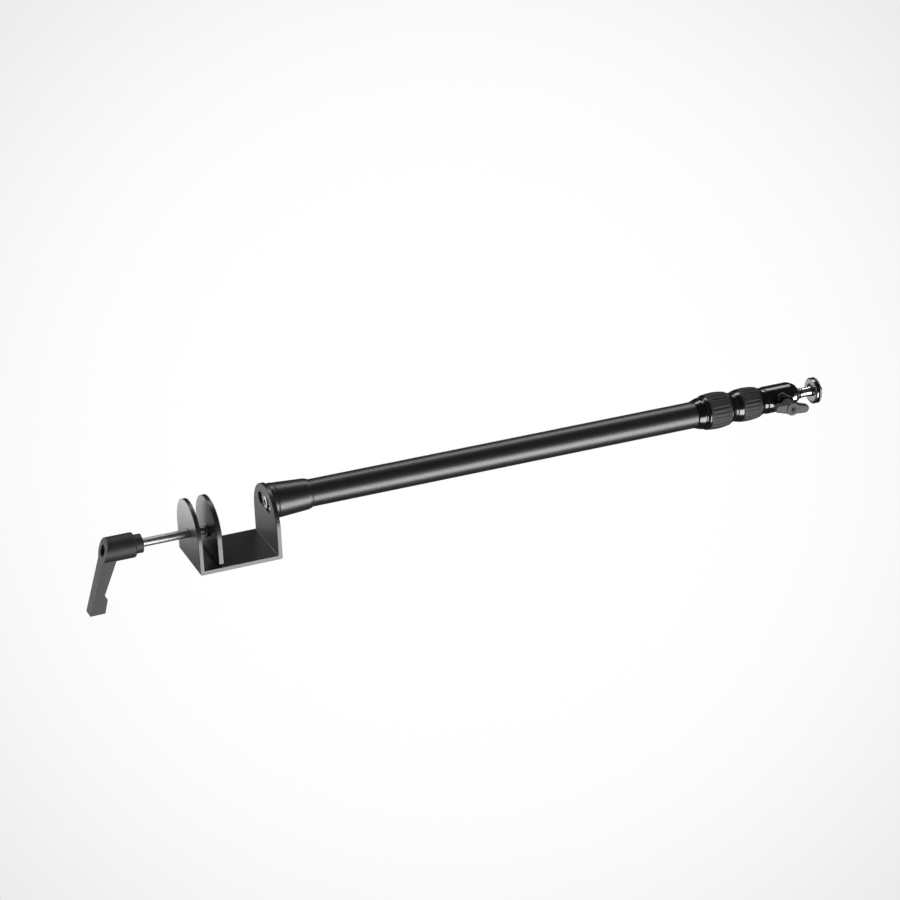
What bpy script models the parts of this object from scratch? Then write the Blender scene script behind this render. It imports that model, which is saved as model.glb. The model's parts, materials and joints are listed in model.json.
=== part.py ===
"""Desk mount pole: a screw clamp, a three-section telescopic pole and a small ball head.

It stands upright as in use. +Z runs up the pole, +X points to the clamp's web and the
object's near side is -Y. The origin is where the clamp screw's axis meets the upper ear's
gripping face. Every size below is in millimetres, and the helpers scale them to metres.
"""
from math import cos, pi, radians, sin, sqrt

import bmesh
import bpy
from mathutils import Matrix, Vector

MM = 0.001
MERGE = 0.00001
SHARP = radians(40)

# Clearances
GAP = 0.3
SCREW_CLEARANCE = 0.4

# Fineness of round pieces
FINE = 32
SMALL = 20

# Bracket: one bent plate with two ears and a web
PLATE = 4.0
EAR_RADIUS = 31.5
WEB_DEPTH = 28.5
BRACKET_LENGTH = 77.3
BEND_OUTER = 1.5
BEND_INNER = 0.5
POLE_OFFSET = 15.0

# Base screw in the upper ear's oval pocket
POCKET_LENGTH = 33.0
POCKET_WIDTH = 12.6
POCKET_DEPTH = 3.0
BASE_PLATE = 0.7
BASE_HEAD = 11.8
BASE_HEAD_HEIGHT = 1.5
BASE_THREAD = 8.0
BASE_THREAD_LENGTH = 19.0
BASE_SOCKET = 5.0
BASE_SOCKET_DEPTH = 3.2

# Jaw and what holds it on the clamp screw
JAW_OPENING = 50.1
JAW_PLATE = 4.0
JAW_WEB_CLEARANCE = 3.5
PAD = 1.0
PAD_INSET = 2.5
PAD_HOLE = 14.0
JAW_RECESS = 12.5
JAW_RECESS_DEPTH = 2.2
WASHER = 1.5
WASHER_DIAMETER = 13.0
CLIP = 0.6
CLIP_DIAMETER = 11.2
CLIP_MOUTH = 3.2

# Clamp screw and its nut
THREAD = 8.0
NECK = 6.0
GROOVE = 4.4
NUT_DIAMETER = 12.0
NUT_HEIGHT = 6.5

# Indexing lever
LEVER_STANDOFF = 43.0
COLLAR_DIAMETER = 17.3
COLLAR_LENGTH = 7.0
HUB_DIAMETER = 23.0
HUB_END = 35.6
HUB_SLOPE = 0.317
HUB_CHAMFER = 1.2
GUIDE = 13.0
GUIDE_LENGTH = 8.9
RELIEF = 11.6
TEETH = 24
TOOTH_DEPTH = 0.6
TOOTH_CLEARANCE = 0.1
TOOTH_LENGTH = 3.5
INSERT_LENGTH = 18.9
ROD_SEAT = 9.9
LEDGE = 2.0
CHAMBER = 10.8
LEVER_SCREW = 5.0
LEVER_SCREW_REACH = 8.0
LEVER_SCREW_HEAD = 9.8
LEVER_SCREW_HEAD_HEIGHT = 3.5
LEVER_SOCKET = 4.0
LEVER_SOCKET_DEPTH = 2.0
SPRING_DIAMETER = 8.6
SPRING_WIRE = 0.9
SPRING_LENGTH = 7.9
SPRING_TURNS = 4.5
SPRING_POINTS = 12

# Lever arm, measured from the clamp screw's axis and the hub's outer end
ARM_REACH = 58.4
ARM_ROOT = 8.3
ARM_ROOT_WIDTH = 15.2
ARM_TIP_WIDTH = 13.0
ARM_ROOT_DEPTH = 12.8
ARM_TIP_DEPTH = 14.2
NOTCH_REACH = 40.3
NOTCH_DEPTH = 9.6
BUMP_REACH = 46.0
BUMP_DEPTH = 13.2

# Pole tubes: diameters, walls and the length of the outer one
OUTER_TUBE = 25.4
MIDDLE_TUBE = 21.0
INNER_TUBE = 17.0
TUBE_WALL = 1.2
OUTER_LENGTH = 428.0
BUSH_FLANGE = 2.5
BUSH_SPIGOT = 8.0
BUSH_VENT = 6.0
BUSH_STEP = 6.0

# Base plug and sleeve; the sleeve's outside is given as more than the tube's diameter
PLUG_FLANGE = 3.4
PLUG_LENGTH = 22.0
PLUG_THREAD_DEPTH = 20.0
SLEEVE_HEIGHT = 38.7
SLEEVE_FOOT = 7.8
SLEEVE_BEAD = 4.2
SLEEVE_GROOVE = 1.0
SLEEVE_CONE_FOOT = 7.2
SLEEVE_CONE_TOP = 3.5
SLEEVE_LIP = 4.0

# Twist locks: what both have alike
SPIGOT_WALL = 2.9
COLLET_WALL = 2.55
COLLET_CYLINDER = 3.0
COLLET_CONE = 9.3
COLLET_SLOT = 1.6
COLLAR_WALL = 1.5
EXIT_CLEARANCE = 0.4
RIBS = 24
RIB_DEPTH = 0.6
RIB_LAND = 0.55

# Lower lock: the ring is given as more than its tube, the rest as more than the collar's body
LOWER_SKIRT = 4.0
LOWER_RING = 5.4
LOWER_RING_HEIGHT = 3.7
LOWER_SPIGOT = 12.3
LOWER_BAND = 3.4
LOWER_BAND_HEIGHT = 4.0
LOWER_GRIP_HEIGHT = 22.4
LOWER_GRIP = (3.6, 4.6, 5.0, 4.1, 2.2)
LOWER_RIM = 1.0
LOWER_RIM_HEIGHT = 3.5
LOWER_RIM_TOP = -1.6

# Upper lock, given in the same way
UPPER_NECK = 7.2
UPPER_NECK_HEIGHT = 3.2
UPPER_RING = 10.2
UPPER_RING_FOOT = 8.0
UPPER_RING_HEIGHT = 5.3
UPPER_SEAT = 2.3
UPPER_SPIGOT = 9.7
UPPER_GRIP_HEIGHT = 20.1
UPPER_GRIP = (5.2, 5.9, 5.8, 5.0, 3.2)
UPPER_RIM = 2.6
UPPER_RIM_HEIGHT = 3.0
UPPER_RIM_TOP = -0.4

# Top fitting and the stud that carries the head
FITTING = 25.6
FITTING_HEIGHT = 3.7
FITTING_SPIGOT = 12.0
HEAD_STUD = 9.6
HEAD_STUD_DOWN = 10.3
HEAD_STUD_UP = 8.4

# Ball head; its shoulder and mouth are given as less than its diameter
HOUSING_WALL = 4.5
HOUSING_HEIGHT = 34.2
HOUSING_FLOOR = 3.0
SHOULDER = ((0.8, 5.9), (3.6, 2.9), (5.6, 0.8))
SHOULDER_START = 7.5
MOUTH_RIM = 7.2
BALL = 17.0
BALL_BELOW_MOUTH = 2.9
BALL_CUT = 0.6
SEAT_RIM_BELOW = 6.6
SEAT_HEIGHT = 5.2
NOTCH_WIDTH = 11.2
NOTCH_FLOOR_BELOW = 7.6
BOSS = 18.0
BOSS_PROUD = 4.7
KNOB_BELOW_BALL = 16.0

# Wing knob, its stud and its screw
KNOB_HUB = 13.0
KNOB_LENGTH = 14.0
KNOB_STUD = 6.0
KNOB_STUD_END = 2.0
KNOB_STUD_SEAT = 4.3
KNOB_SCREW_HEAD = 6.0
KNOB_SCREW_RECESS = 2.0
KNOB_SCREW = 3.0
KNOB_SCREW_REACH = 3.7
WING_SPAN = 37.0
WING_TIP = 8.5
WING_ROOT = 11.6
WING_THICKNESS = 6.0
WING_SETBACK = 0.8
WING_LEAN = 10.6

# Stem, platform, lock disc and camera stud
STEM = 10.2
STEM_LENGTH = 12.3
CAMERA_STUD = 6.35
CAMERA_STUD_SEAT = 6.9
CAMERA_STUD_REACH = 5.0
PLATFORM = 25.4
PLATFORM_HEIGHT = 2.8
PLATFORM_NECK = 18.0
PLATFORM_NECK_HEIGHT = 0.8
LOCK_DISC_HEIGHT = 1.8
LOCK_PAD = 21.6
LOCK_PAD_HEIGHT = 0.5
EDGE = 0.5

# Heights that several pieces share
LOWER_FACE = PLATE - BRACKET_LENGTH
NUT_FOOT = LOWER_FACE + PLATE + GAP
PAD_TOP = -JAW_OPENING
JAW_TOP = PAD_TOP - PAD - GAP
JAW_FOOT = JAW_TOP - JAW_PLATE
CLIP_FOOT = JAW_TOP - JAW_RECESS_DEPTH + GAP
SHOULDER_Z = JAW_FOOT - WASHER - 2 * GAP
LEVER_TOP = LOWER_FACE - LEVER_STANDOFF
INSERT_TOP = LEVER_TOP - GAP
INSERT_FOOT = INSERT_TOP - INSERT_LENGTH
ROD_END = INSERT_TOP - ROD_SEAT + GAP
LEDGE_FOOT = INSERT_FOOT - GAP - LEDGE
HEAD_Z = LEDGE_FOOT - 2 * GAP - SPRING_LENGTH
LEVER_END = LEVER_TOP - HUB_END

BASE = PLATE + GAP
OUTER_FOOT = BASE + PLUG_FLANGE + GAP
OUTER_TOP = OUTER_FOOT + OUTER_LENGTH
PLUG_TOP = OUTER_FOOT + PLUG_LENGTH
LOWER_RING_TOP = OUTER_TOP + LOWER_RING_HEIGHT
LOWER_COLLAR_FOOT = LOWER_RING_TOP + GAP
LOWER_GRIP_FOOT = LOWER_COLLAR_FOOT + LOWER_BAND_HEIGHT + GAP
LOWER_RIM_FOOT = LOWER_GRIP_FOOT + LOWER_GRIP_HEIGHT + GAP
LOWER_COLLAR_TOP = LOWER_RIM_FOOT + LOWER_RIM_HEIGHT
UPPER_FOOT = LOWER_COLLAR_TOP + GAP
UPPER_RING_TOP = UPPER_FOOT + UPPER_NECK_HEIGHT + UPPER_RING_HEIGHT
MIDDLE_TOP = UPPER_RING_TOP - UPPER_SEAT - GAP
UPPER_COLLAR_FOOT = UPPER_RING_TOP + GAP
UPPER_RIM_FOOT = UPPER_COLLAR_FOOT + UPPER_GRIP_HEIGHT + GAP
UPPER_COLLAR_TOP = UPPER_RIM_FOOT + UPPER_RIM_HEIGHT
INNER_TOP = UPPER_COLLAR_TOP
FITTING_FOOT = UPPER_COLLAR_TOP + GAP
FITTING_TOP = FITTING_FOOT + FITTING_HEIGHT
HOUSING_FOOT = FITTING_TOP + GAP
HOUSING_TOP = HOUSING_FOOT + HOUSING_HEIGHT
HOUSING = BALL + 2 * GAP + 2 * HOUSING_WALL
BOSS_REACH = HOUSING / 2 + BOSS_PROUD
KNOB_FRONT = BOSS_REACH + GAP + KNOB_LENGTH
BALL_Z = HOUSING_TOP - BALL_BELOW_MOUTH
KNOB_Z = BALL_Z - KNOB_BELOW_BALL
BALL_FLAT = BALL / 2 - BALL_CUT
STEM_FOOT = BALL_FLAT + GAP
STEM_TOP = STEM_FOOT + STEM_LENGTH
PLATFORM_FOOT = STEM_TOP + GAP
PLATFORM_TOP = PLATFORM_FOOT + PLATFORM_HEIGHT + PLATFORM_NECK_HEIGHT
DISC_FOOT = PLATFORM_TOP + GAP
DISC_TOP = DISC_FOOT + LOCK_DISC_HEIGHT
PAD_FOOT = DISC_TOP + GAP


# Scene and materials

def clear_scene():
    for obj in list(bpy.data.objects):
        bpy.data.objects.remove(obj, do_unlink=True)


def new_collection(name):
    collection = bpy.data.collections.new(name)
    bpy.context.scene.collection.children.link(collection)
    return collection


def finish(name, colour, roughness, metallic):
    look = bpy.data.materials.new(name)
    look.use_nodes = True
    shader = look.node_tree.nodes["Principled BSDF"]
    shader.inputs["Base Color"].default_value = (*colour, 1.0)
    shader.inputs["Roughness"].default_value = roughness
    shader.inputs["Metallic"].default_value = metallic
    look.diffuse_color = (*colour, 1.0)
    return look


FINISHES = {
    "black_coat": ((0.022, 0.022, 0.024), 0.45, 0.3),
    "satin_tube": ((0.028, 0.028, 0.030), 0.38, 0.5),
    "gloss_black": ((0.012, 0.012, 0.013), 0.12, 0.2),
    "black_rubber": ((0.035, 0.035, 0.036), 0.75, 0.0),
    "grey_nylon": ((0.085, 0.085, 0.088), 0.55, 0.0),
    "zinc": ((0.72, 0.72, 0.73), 0.25, 1.0),
    "chrome": ((0.85, 0.85, 0.86), 0.10, 1.0),
    "dark_steel": ((0.20, 0.20, 0.21), 0.22, 1.0),
    "white_acetal": ((0.62, 0.62, 0.60), 0.45, 0.0),
}


# Shape helpers

def add_object(name, mesh, look, parent):
    """A named object with its own material, in the parent's coordinates."""
    obj = bpy.data.objects.new(name, mesh)
    if look:
        mesh.materials.append(finish(name, *FINISHES[look]))
    obj.parent = parent
    PARTS.objects.link(obj)
    return obj


def as_cutter(obj):
    PARTS.objects.unlink(obj)
    CUTTERS.objects.link(obj)
    obj.hide_render = True
    obj.display_type = "WIRE"
    return obj


def combine(target, tool, operation="DIFFERENCE"):
    """Cut, join or intersect the target with a tool that isn't part of the object."""
    as_cutter(tool)
    change = target.modifiers.new(tool.name, "BOOLEAN")
    change.operation = operation
    change.solver = "EXACT"
    change.object = tool
    return target


def turned(name, profile, look, parent, steps=FINE):
    """Turn (diameter, height) points about Z, down the outer side and up the inner one."""
    mesh = bpy.data.meshes.new(name)
    points = [(diameter / 2 * MM, 0.0, height * MM) for diameter, height in profile]
    edges = [(i, i + 1) for i in range(len(points) - 1)]
    if profile[0][0] > 0:
        edges.append((len(points) - 1, 0))
    mesh.from_pydata(points, edges, [])
    obj = add_object(name, mesh, look, parent)
    screw = obj.modifiers.new("turn", "SCREW")
    screw.steps = steps
    screw.render_steps = steps
    screw.use_merge_vertices = True
    screw.merge_threshold = MERGE
    screw.use_smooth_shade = True
    return obj


def cylinder(name, diameter, low, high, look, parent, sides=SMALL):
    mesh = bpy.data.meshes.new(name)
    shape = bmesh.new()
    middle = Matrix.Translation((0.0, 0.0, (low + high) / 2 * MM))
    bmesh.ops.create_cone(shape, cap_ends=True, segments=sides, radius1=diameter / 2 * MM,
                          radius2=diameter / 2 * MM, depth=(high - low) * MM, matrix=middle)
    shape.to_mesh(mesh)
    shape.free()
    mesh.shade_smooth()
    mesh.set_sharp_from_angle(angle=SHARP)
    return add_object(name, mesh, look, parent)


def prism(name, outline, low, high, look, parent):
    """Raise a closed (x, y) outline from one height to another."""
    curve = bpy.data.curves.new(name + "_outline", "CURVE")
    curve.dimensions = "2D"
    curve.fill_mode = "BOTH"
    curve.extrude = (high - low) / 2 * MM
    spline = curve.splines.new("POLY")
    spline.points.add(len(outline) - 1)
    spline.use_cyclic_u = True
    for point, (x, y) in zip(spline.points, outline):
        point.co = (x * MM, y * MM, 0.0, 1.0)
    mesh = mesh_of_curve(curve)
    mesh.transform(Matrix.Translation((0.0, 0.0, (low + high) / 2 * MM)))
    return add_object(name, mesh, look, parent)


def mesh_of_curve(curve):
    """Turn a curve into a mesh with its caps welded on."""
    source = bpy.data.objects.new(curve.name, curve)
    PARTS.objects.link(source)
    evaluated = source.evaluated_get(bpy.context.evaluated_depsgraph_get())
    mesh = bpy.data.meshes.new_from_object(evaluated)
    bpy.data.objects.remove(source)
    shape = bmesh.new()
    shape.from_mesh(mesh)
    bmesh.ops.remove_doubles(shape, verts=shape.verts, dist=MERGE)
    bmesh.ops.recalc_face_normals(shape, faces=shape.faces)
    shape.to_mesh(mesh)
    shape.free()
    return mesh


def box(name, low, high, parent):
    mesh = bpy.data.meshes.new(name)
    shape = bmesh.new()
    low, high = Vector(low) * MM, Vector(high) * MM
    size = Matrix.Diagonal((*(high - low), 1.0))
    bmesh.ops.create_cube(shape, size=1.0, matrix=Matrix.Translation((low + high) / 2) @ size)
    shape.to_mesh(mesh)
    shape.free()
    return add_object(name, mesh, None, parent)


def arc(x, y, radius, start, end, steps=8):
    """Points on an arc, with angles in degrees from +X towards +Y."""
    angles = [radians(start + (end - start) * i / steps) for i in range(steps + 1)]
    return [(x + radius * cos(a), y + radius * sin(a)) for a in angles]


def hexagon(flats):
    return arc(0, 0, flats / sqrt(3), 0, 300, 5)


def oval(length, width):
    """An outline with round ends, its length along Y."""
    reach = (length - width) / 2
    return arc(0, reach, width / 2, 0, 180, 12) + arc(0, -reach, width / 2, 180, 360, 12)


def toothed(outer, depth, teeth):
    """A ring of V teeth, with a tip at +X."""
    radii = [outer / 2 - depth * (i % 2) for i in range(2 * teeth)]
    return [(r * cos(pi * i / teeth), r * sin(pi * i / teeth)) for i, r in enumerate(radii)]


def axis_frame(name, x, z, tilt=0.0):
    """An empty on a joint's axis. Tilted by 90 degrees, its Z points to the near side."""
    empty = bpy.data.objects.new(name, None)
    empty.location = (x * MM, 0.0, z * MM)
    empty.rotation_euler = (radians(tilt), 0.0, 0.0)
    PARTS.objects.link(empty)
    return empty


# Clamp

def ear_outline(foot):
    """A round-topped plate centred on the screw's axis, with its foot towards the web."""
    return [(foot, EAR_RADIUS), *arc(0, 0, EAR_RADIUS, 90, 270, 32), (foot, -EAR_RADIUS)]


def bracket(clamp):
    inner = WEB_DEPTH - PLATE
    outer_bend = WEB_DEPTH - BEND_OUTER
    inner_bend = inner - BEND_INNER
    past = -EAR_RADIUS - PLATE
    channel = [
        (past, PLATE),
        (past, 0),
        *arc(inner_bend, -BEND_INNER, BEND_INNER, 90, 0, 3),
        *arc(inner_bend, LOWER_FACE + PLATE + BEND_INNER, BEND_INNER, 0, -90, 3),
        (past, LOWER_FACE + PLATE),
        (past, LOWER_FACE),
        *arc(outer_bend, LOWER_FACE + BEND_OUTER, BEND_OUTER, -90, 0, 4),
        *arc(outer_bend, PLATE - BEND_OUTER, BEND_OUTER, 0, 90, 4),
    ]
    plate = prism("bracket", channel, -EAR_RADIUS - PLATE, EAR_RADIUS + PLATE,
                  "black_coat", clamp)
    plate.data.transform(Matrix.Rotation(radians(90), 4, "X"))
    blank = prism("bracket_blank", ear_outline(WEB_DEPTH + PLATE), LOWER_FACE - PLATE, 2 * PLATE,
                  None, clamp)
    combine(plate, blank, "INTERSECT")
    screw_hole = cylinder("screw_hole", THREAD + 2 * SCREW_CLEARANCE, LOWER_FACE - PLATE,
                          LOWER_FACE + 2 * PLATE, None, clamp)
    combine(plate, screw_hole)
    pocket = prism("base_pocket", oval(POCKET_LENGTH, POCKET_WIDTH), -PLATE, POCKET_DEPTH,
                   None, POLE)
    combine(plate, pocket)
    combine(plate, cylinder("base_hole", BASE_THREAD + 2 * SCREW_CLEARANCE, 0, 2 * PLATE,
                            None, POLE))


def clamp_nut(clamp):
    bore = THREAD + 2 * SCREW_CLEARANCE
    top = NUT_FOOT + NUT_HEIGHT
    profile = [(NUT_DIAMETER, top), (NUT_DIAMETER, NUT_FOOT), (bore, NUT_FOOT), (bore, top)]
    turned("clamp_nut", profile, "zinc", clamp, SMALL)


def jaw(clamp):
    foot = WEB_DEPTH - PLATE - JAW_WEB_CLEARANCE
    plate = prism("jaw_plate", ear_outline(foot), JAW_FOOT, JAW_TOP, "black_coat", clamp)
    combine(plate, cylinder("jaw_bore", NECK + 2 * GAP, JAW_FOOT - PLATE, JAW_TOP + PLATE,
                            None, clamp))
    combine(plate, cylinder("jaw_recess", JAW_RECESS, JAW_TOP - JAW_RECESS_DEPTH,
                            JAW_TOP + PLATE, None, clamp))
    radius = EAR_RADIUS - PAD_INSET
    outline = [(foot - PAD_INSET, radius), *arc(0, 0, radius, 90, 270, 32),
               (foot - PAD_INSET, -radius)]
    pad = prism("jaw_pad", outline, PAD_TOP - PAD, PAD_TOP, "black_rubber", clamp)
    combine(pad, cylinder("pad_hole", PAD_HOLE, JAW_TOP, PAD_TOP + PAD, None, clamp))


def jaw_retainers(clamp):
    bore = NECK + 2 * GAP
    washer_foot = SHOULDER_Z + GAP
    washer = [(WASHER_DIAMETER, washer_foot + WASHER), (WASHER_DIAMETER, washer_foot),
              (bore, washer_foot), (bore, washer_foot + WASHER)]
    turned("thrust_washer", washer, "zinc", clamp, SMALL)
    inside = GROOVE + 2 * GAP
    ring = [(CLIP_DIAMETER, CLIP_FOOT + CLIP), (CLIP_DIAMETER, CLIP_FOOT),
            (inside, CLIP_FOOT), (inside, CLIP_FOOT + CLIP)]
    clip = turned("jaw_clip", ring, "dark_steel", clamp, SMALL)
    combine(clip, box("clip_mouth", (0, -CLIP_MOUTH / 2, CLIP_FOOT - CLIP),
                      (CLIP_DIAMETER, CLIP_MOUTH / 2, CLIP_FOOT + 2 * CLIP), clamp))


def clamp_screw(clamp):
    groove_foot = CLIP_FOOT - GAP
    groove_top = CLIP_FOOT + CLIP + GAP
    end = JAW_TOP - 0.2
    profile = [(0, end), (NECK, end), (NECK, groove_top), (GROOVE, groove_top),
               (GROOVE, groove_foot), (NECK, groove_foot), (NECK, SHOULDER_Z),
               (THREAD, SHOULDER_Z), (THREAD, ROD_END), (0, ROD_END)]
    turned("clamp_screw", profile, "zinc", clamp, SMALL)


# Lever

def lever_insert(clamp):
    guide_foot = INSERT_TOP - GUIDE_LENGTH
    teeth_top = INSERT_FOOT + TOOTH_LENGTH
    rod_bore = THREAD + 2 * GAP
    floor = INSERT_TOP - ROD_SEAT
    profile = [(0, floor), (rod_bore, floor), (rod_bore, INSERT_TOP), (GUIDE, INSERT_TOP),
               (GUIDE, guide_foot), (RELIEF, guide_foot), (RELIEF, INSERT_FOOT + GAP),
               (0, INSERT_FOOT + GAP)]
    insert = turned("lever_insert", profile, "dark_steel", clamp, SMALL)
    teeth = prism("insert_teeth", toothed(GUIDE, TOOTH_DEPTH, TEETH), INSERT_FOOT, teeth_top,
                  None, clamp)
    combine(insert, teeth, "UNION")
    combine(insert, cylinder("insert_tap", LEVER_SCREW + 2 * GAP, INSERT_FOOT - LEDGE,
                             INSERT_FOOT + LEVER_SCREW_REACH, None, clamp))


def lever_screw(clamp):
    reach = INSERT_FOOT + LEVER_SCREW_REACH - GAP
    outer = HEAD_Z - LEVER_SCREW_HEAD_HEIGHT
    profile = [(0, reach), (LEVER_SCREW, reach), (LEVER_SCREW, HEAD_Z),
               (LEVER_SCREW_HEAD, HEAD_Z), (LEVER_SCREW_HEAD, outer), (0, outer)]
    screw = turned("lever_screw", profile, "dark_steel", clamp, SMALL)
    combine(screw, prism("lever_socket", hexagon(LEVER_SOCKET), outer - PLATE,
                         outer + LEVER_SOCKET_DEPTH, None, clamp))


def lever_spring(clamp):
    curve = bpy.data.curves.new("lever_spring", "CURVE")
    curve.dimensions = "3D"
    curve.bevel_depth = SPRING_WIRE / 2 * MM
    curve.bevel_resolution = 2
    curve.use_fill_caps = True
    count = int(SPRING_TURNS * SPRING_POINTS)
    start = LEDGE_FOOT - GAP - SPRING_WIRE / 2
    rise = SPRING_LENGTH - SPRING_WIRE
    spline = curve.splines.new("POLY")
    spline.points.add(count)
    for i, point in enumerate(spline.points):
        angle = 2 * pi * i / SPRING_POINTS
        radius = SPRING_DIAMETER / 2
        height = start - rise * i / count
        point.co = (radius * cos(angle) * MM, radius * sin(angle) * MM, height * MM, 1.0)
    add_object("lever_spring", mesh_of_curve(curve), "zinc", clamp)


def lever_plane(x):
    """Height of the lever's sloping outer side at a distance from the screw's axis."""
    return LEVER_END - HUB_SLOPE * x


def lever(clamp):
    past = lever_plane(HUB_DIAMETER / 2) - LEDGE
    hub_top = LEVER_TOP - COLLAR_LENGTH
    teeth_foot = INSERT_FOOT - GAP
    teeth_top = INSERT_FOOT + TOOTH_LENGTH + GAP
    bore = GUIDE + 2 * GAP
    profile = [
        (COLLAR_DIAMETER, LEVER_TOP),
        (COLLAR_DIAMETER, hub_top + EDGE),
        (HUB_DIAMETER - 2 * HUB_CHAMFER, hub_top),
        (HUB_DIAMETER, hub_top - HUB_CHAMFER),
        (HUB_DIAMETER, past),
        (CHAMBER, past),
        (CHAMBER, LEDGE_FOOT),
        (LEVER_SCREW + 4 * GAP, LEDGE_FOOT),
        (LEVER_SCREW + 4 * GAP, teeth_foot + GAP),
        (RELIEF, teeth_foot + GAP),
        (RELIEF, teeth_top - GAP),
        (bore, teeth_top - GAP),
        (bore, LEVER_TOP),
    ]
    handle = turned("lever", profile, "grey_nylon", clamp)
    combine(handle, lever_arm(clamp), "UNION")
    reach = ARM_REACH + PLATE
    drop = HUB_DIAMETER + PLATE
    slope = [(-HUB_DIAMETER, lever_plane(-HUB_DIAMETER)), (reach, lever_plane(reach)),
             (reach, lever_plane(reach) - drop), (-HUB_DIAMETER, lever_plane(reach) - drop)]
    side = prism("lever_slope", slope, -HUB_DIAMETER, HUB_DIAMETER, None, clamp)
    side.data.transform(Matrix.Rotation(radians(90), 4, "X"))
    combine(handle, side)
    tips = GUIDE + 2 * TOOTH_CLEARANCE + 2 * TOOTH_DEPTH
    combine(handle, prism("lever_teeth", toothed(tips, TOOTH_DEPTH, TEETH), teeth_foot,
                          teeth_top, None, clamp))


def lever_arm(clamp):
    """The flat tapering arm with its finger notch, thinner towards the tip."""
    def inner(x, depth):
        return (x, lever_plane(x) + depth)
    past = PLATE
    outline = [inner(ARM_ROOT, -past), inner(ARM_REACH, -past),
               inner(ARM_REACH, ARM_TIP_DEPTH - 2 * EDGE),
               inner(ARM_REACH - 2 * EDGE, ARM_TIP_DEPTH), inner(BUMP_REACH, BUMP_DEPTH),
               inner(NOTCH_REACH, NOTCH_DEPTH), inner(ARM_ROOT, ARM_ROOT_DEPTH)]
    arm = prism("lever_arm", outline, -ARM_ROOT_WIDTH / 2, ARM_ROOT_WIDTH / 2, None, clamp)
    arm.data.transform(Matrix.Rotation(radians(90), 4, "X"))
    for vertex in arm.data.vertices:
        along = (vertex.co.x / MM - ARM_ROOT) / (ARM_REACH - ARM_ROOT)
        vertex.co.y *= 1 + (ARM_TIP_WIDTH / ARM_ROOT_WIDTH - 1) * along
    return arm


# Foot of the pole

def base_bolt():
    """A low socket screw on an oval plate that lies in the pocket."""
    seat = POCKET_DEPTH - GAP
    plate_foot = seat - BASE_PLATE
    head_foot = plate_foot - BASE_HEAD_HEIGHT
    thread_top = seat + BASE_THREAD_LENGTH
    profile = [(0, thread_top), (BASE_THREAD, thread_top), (BASE_THREAD, seat - GAP),
               (BASE_HEAD, seat - GAP), (BASE_HEAD, head_foot), (0, head_foot)]
    bolt = turned("base_bolt", profile, "chrome", POLE, SMALL)
    plate = prism("base_plate", oval(POCKET_LENGTH - 2 * GAP, POCKET_WIDTH - 2 * GAP), plate_foot,
                  seat, None, POLE)
    combine(bolt, plate, "UNION")
    combine(bolt, prism("base_socket", hexagon(BASE_SOCKET), head_foot - PLATE,
                        head_foot + BASE_SOCKET_DEPTH, None, POLE))


def base_plug():
    inside = OUTER_TUBE - 2 * TUBE_WALL - 2 * GAP
    bore = BASE_THREAD + 2 * GAP
    depth = BASE + PLUG_THREAD_DEPTH
    profile = [(0, PLUG_TOP), (inside, PLUG_TOP), (inside, OUTER_FOOT - GAP),
               (OUTER_TUBE, OUTER_FOOT - GAP), (OUTER_TUBE, BASE), (bore, BASE),
               (bore, depth), (0, depth)]
    turned("base_plug", profile, "zinc", POLE)


def base_sleeve():
    top = BASE + SLEEVE_HEIGHT
    bead_top = BASE + SLEEVE_BEAD
    bore = OUTER_TUBE + 2 * GAP
    cone_top = OUTER_TUBE + SLEEVE_CONE_TOP
    cone_foot = OUTER_TUBE + SLEEVE_CONE_FOOT
    bead = OUTER_TUBE + SLEEVE_FOOT
    profile = [
        (bore + 2 * GAP, top),
        (cone_top - 2 * EDGE, top - SLEEVE_LIP / 2),
        (cone_top, top - SLEEVE_LIP),
        (cone_foot, bead_top + 1.5 * SLEEVE_GROOVE),
        (cone_foot - 2 * EDGE, bead_top + SLEEVE_GROOVE / 2),
        (bead, bead_top),
        (bead, BASE),
        (bore, BASE),
        (bore, top),
    ]
    turned("base_sleeve", profile, "black_coat", POLE)


# Tubes

def tube(name, diameter, low, high):
    inside = diameter - 2 * TUBE_WALL
    turned(name, [(diameter, high), (diameter, low), (inside, low), (inside, high)],
           "satin_tube", POLE)


def bush(name, carrier, runs_in, low):
    """An end bush: a flange that runs in the tube outside and a spigot in its own tube."""
    flange = runs_in - 2 * TUBE_WALL - 2 * GAP
    spigot = carrier - 2 * TUBE_WALL - 2 * GAP
    top = low + BUSH_FLANGE + BUSH_SPIGOT
    profile = [(spigot, top), (spigot, low + BUSH_FLANGE), (flange, low + BUSH_FLANGE),
               (flange, low), (BUSH_VENT, low), (BUSH_VENT, top)]
    turned(name, profile, "white_acetal", POLE)


def tubes():
    middle_bush = PLUG_TOP + GAP
    middle_foot = middle_bush + BUSH_FLANGE + GAP
    inner_bush = middle_foot + BUSH_SPIGOT + BUSH_STEP
    tube("outer_tube", OUTER_TUBE, OUTER_FOOT, OUTER_TOP)
    bush("middle_bush", MIDDLE_TUBE, OUTER_TUBE, middle_bush)
    tube("middle_tube", MIDDLE_TUBE, middle_foot, MIDDLE_TOP)
    bush("inner_bush", INNER_TUBE, MIDDLE_TUBE, inner_bush)
    tube("inner_tube", INNER_TUBE, inner_bush + BUSH_FLANGE + GAP, INNER_TOP)


# Twist locks

def ferrule(name, outside, carrier, slider, tube_top, spigot_top):
    """The fixed half: a ring on one tube's end, and a spigot that the collar turns on."""
    ring_top = outside[0][1]
    spigot = slider + 2 * SPIGOT_WALL
    seat = carrier + 2 * GAP
    bore = slider + 2 * EXIT_CLEARANCE
    step = tube_top + GAP
    profile = [(spigot, spigot_top), (spigot, ring_top), *outside, (seat, outside[-1][1]),
               (seat, step), (bore, step), (bore, spigot_top)]
    turned(name, profile, "gloss_black", POLE)


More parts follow.
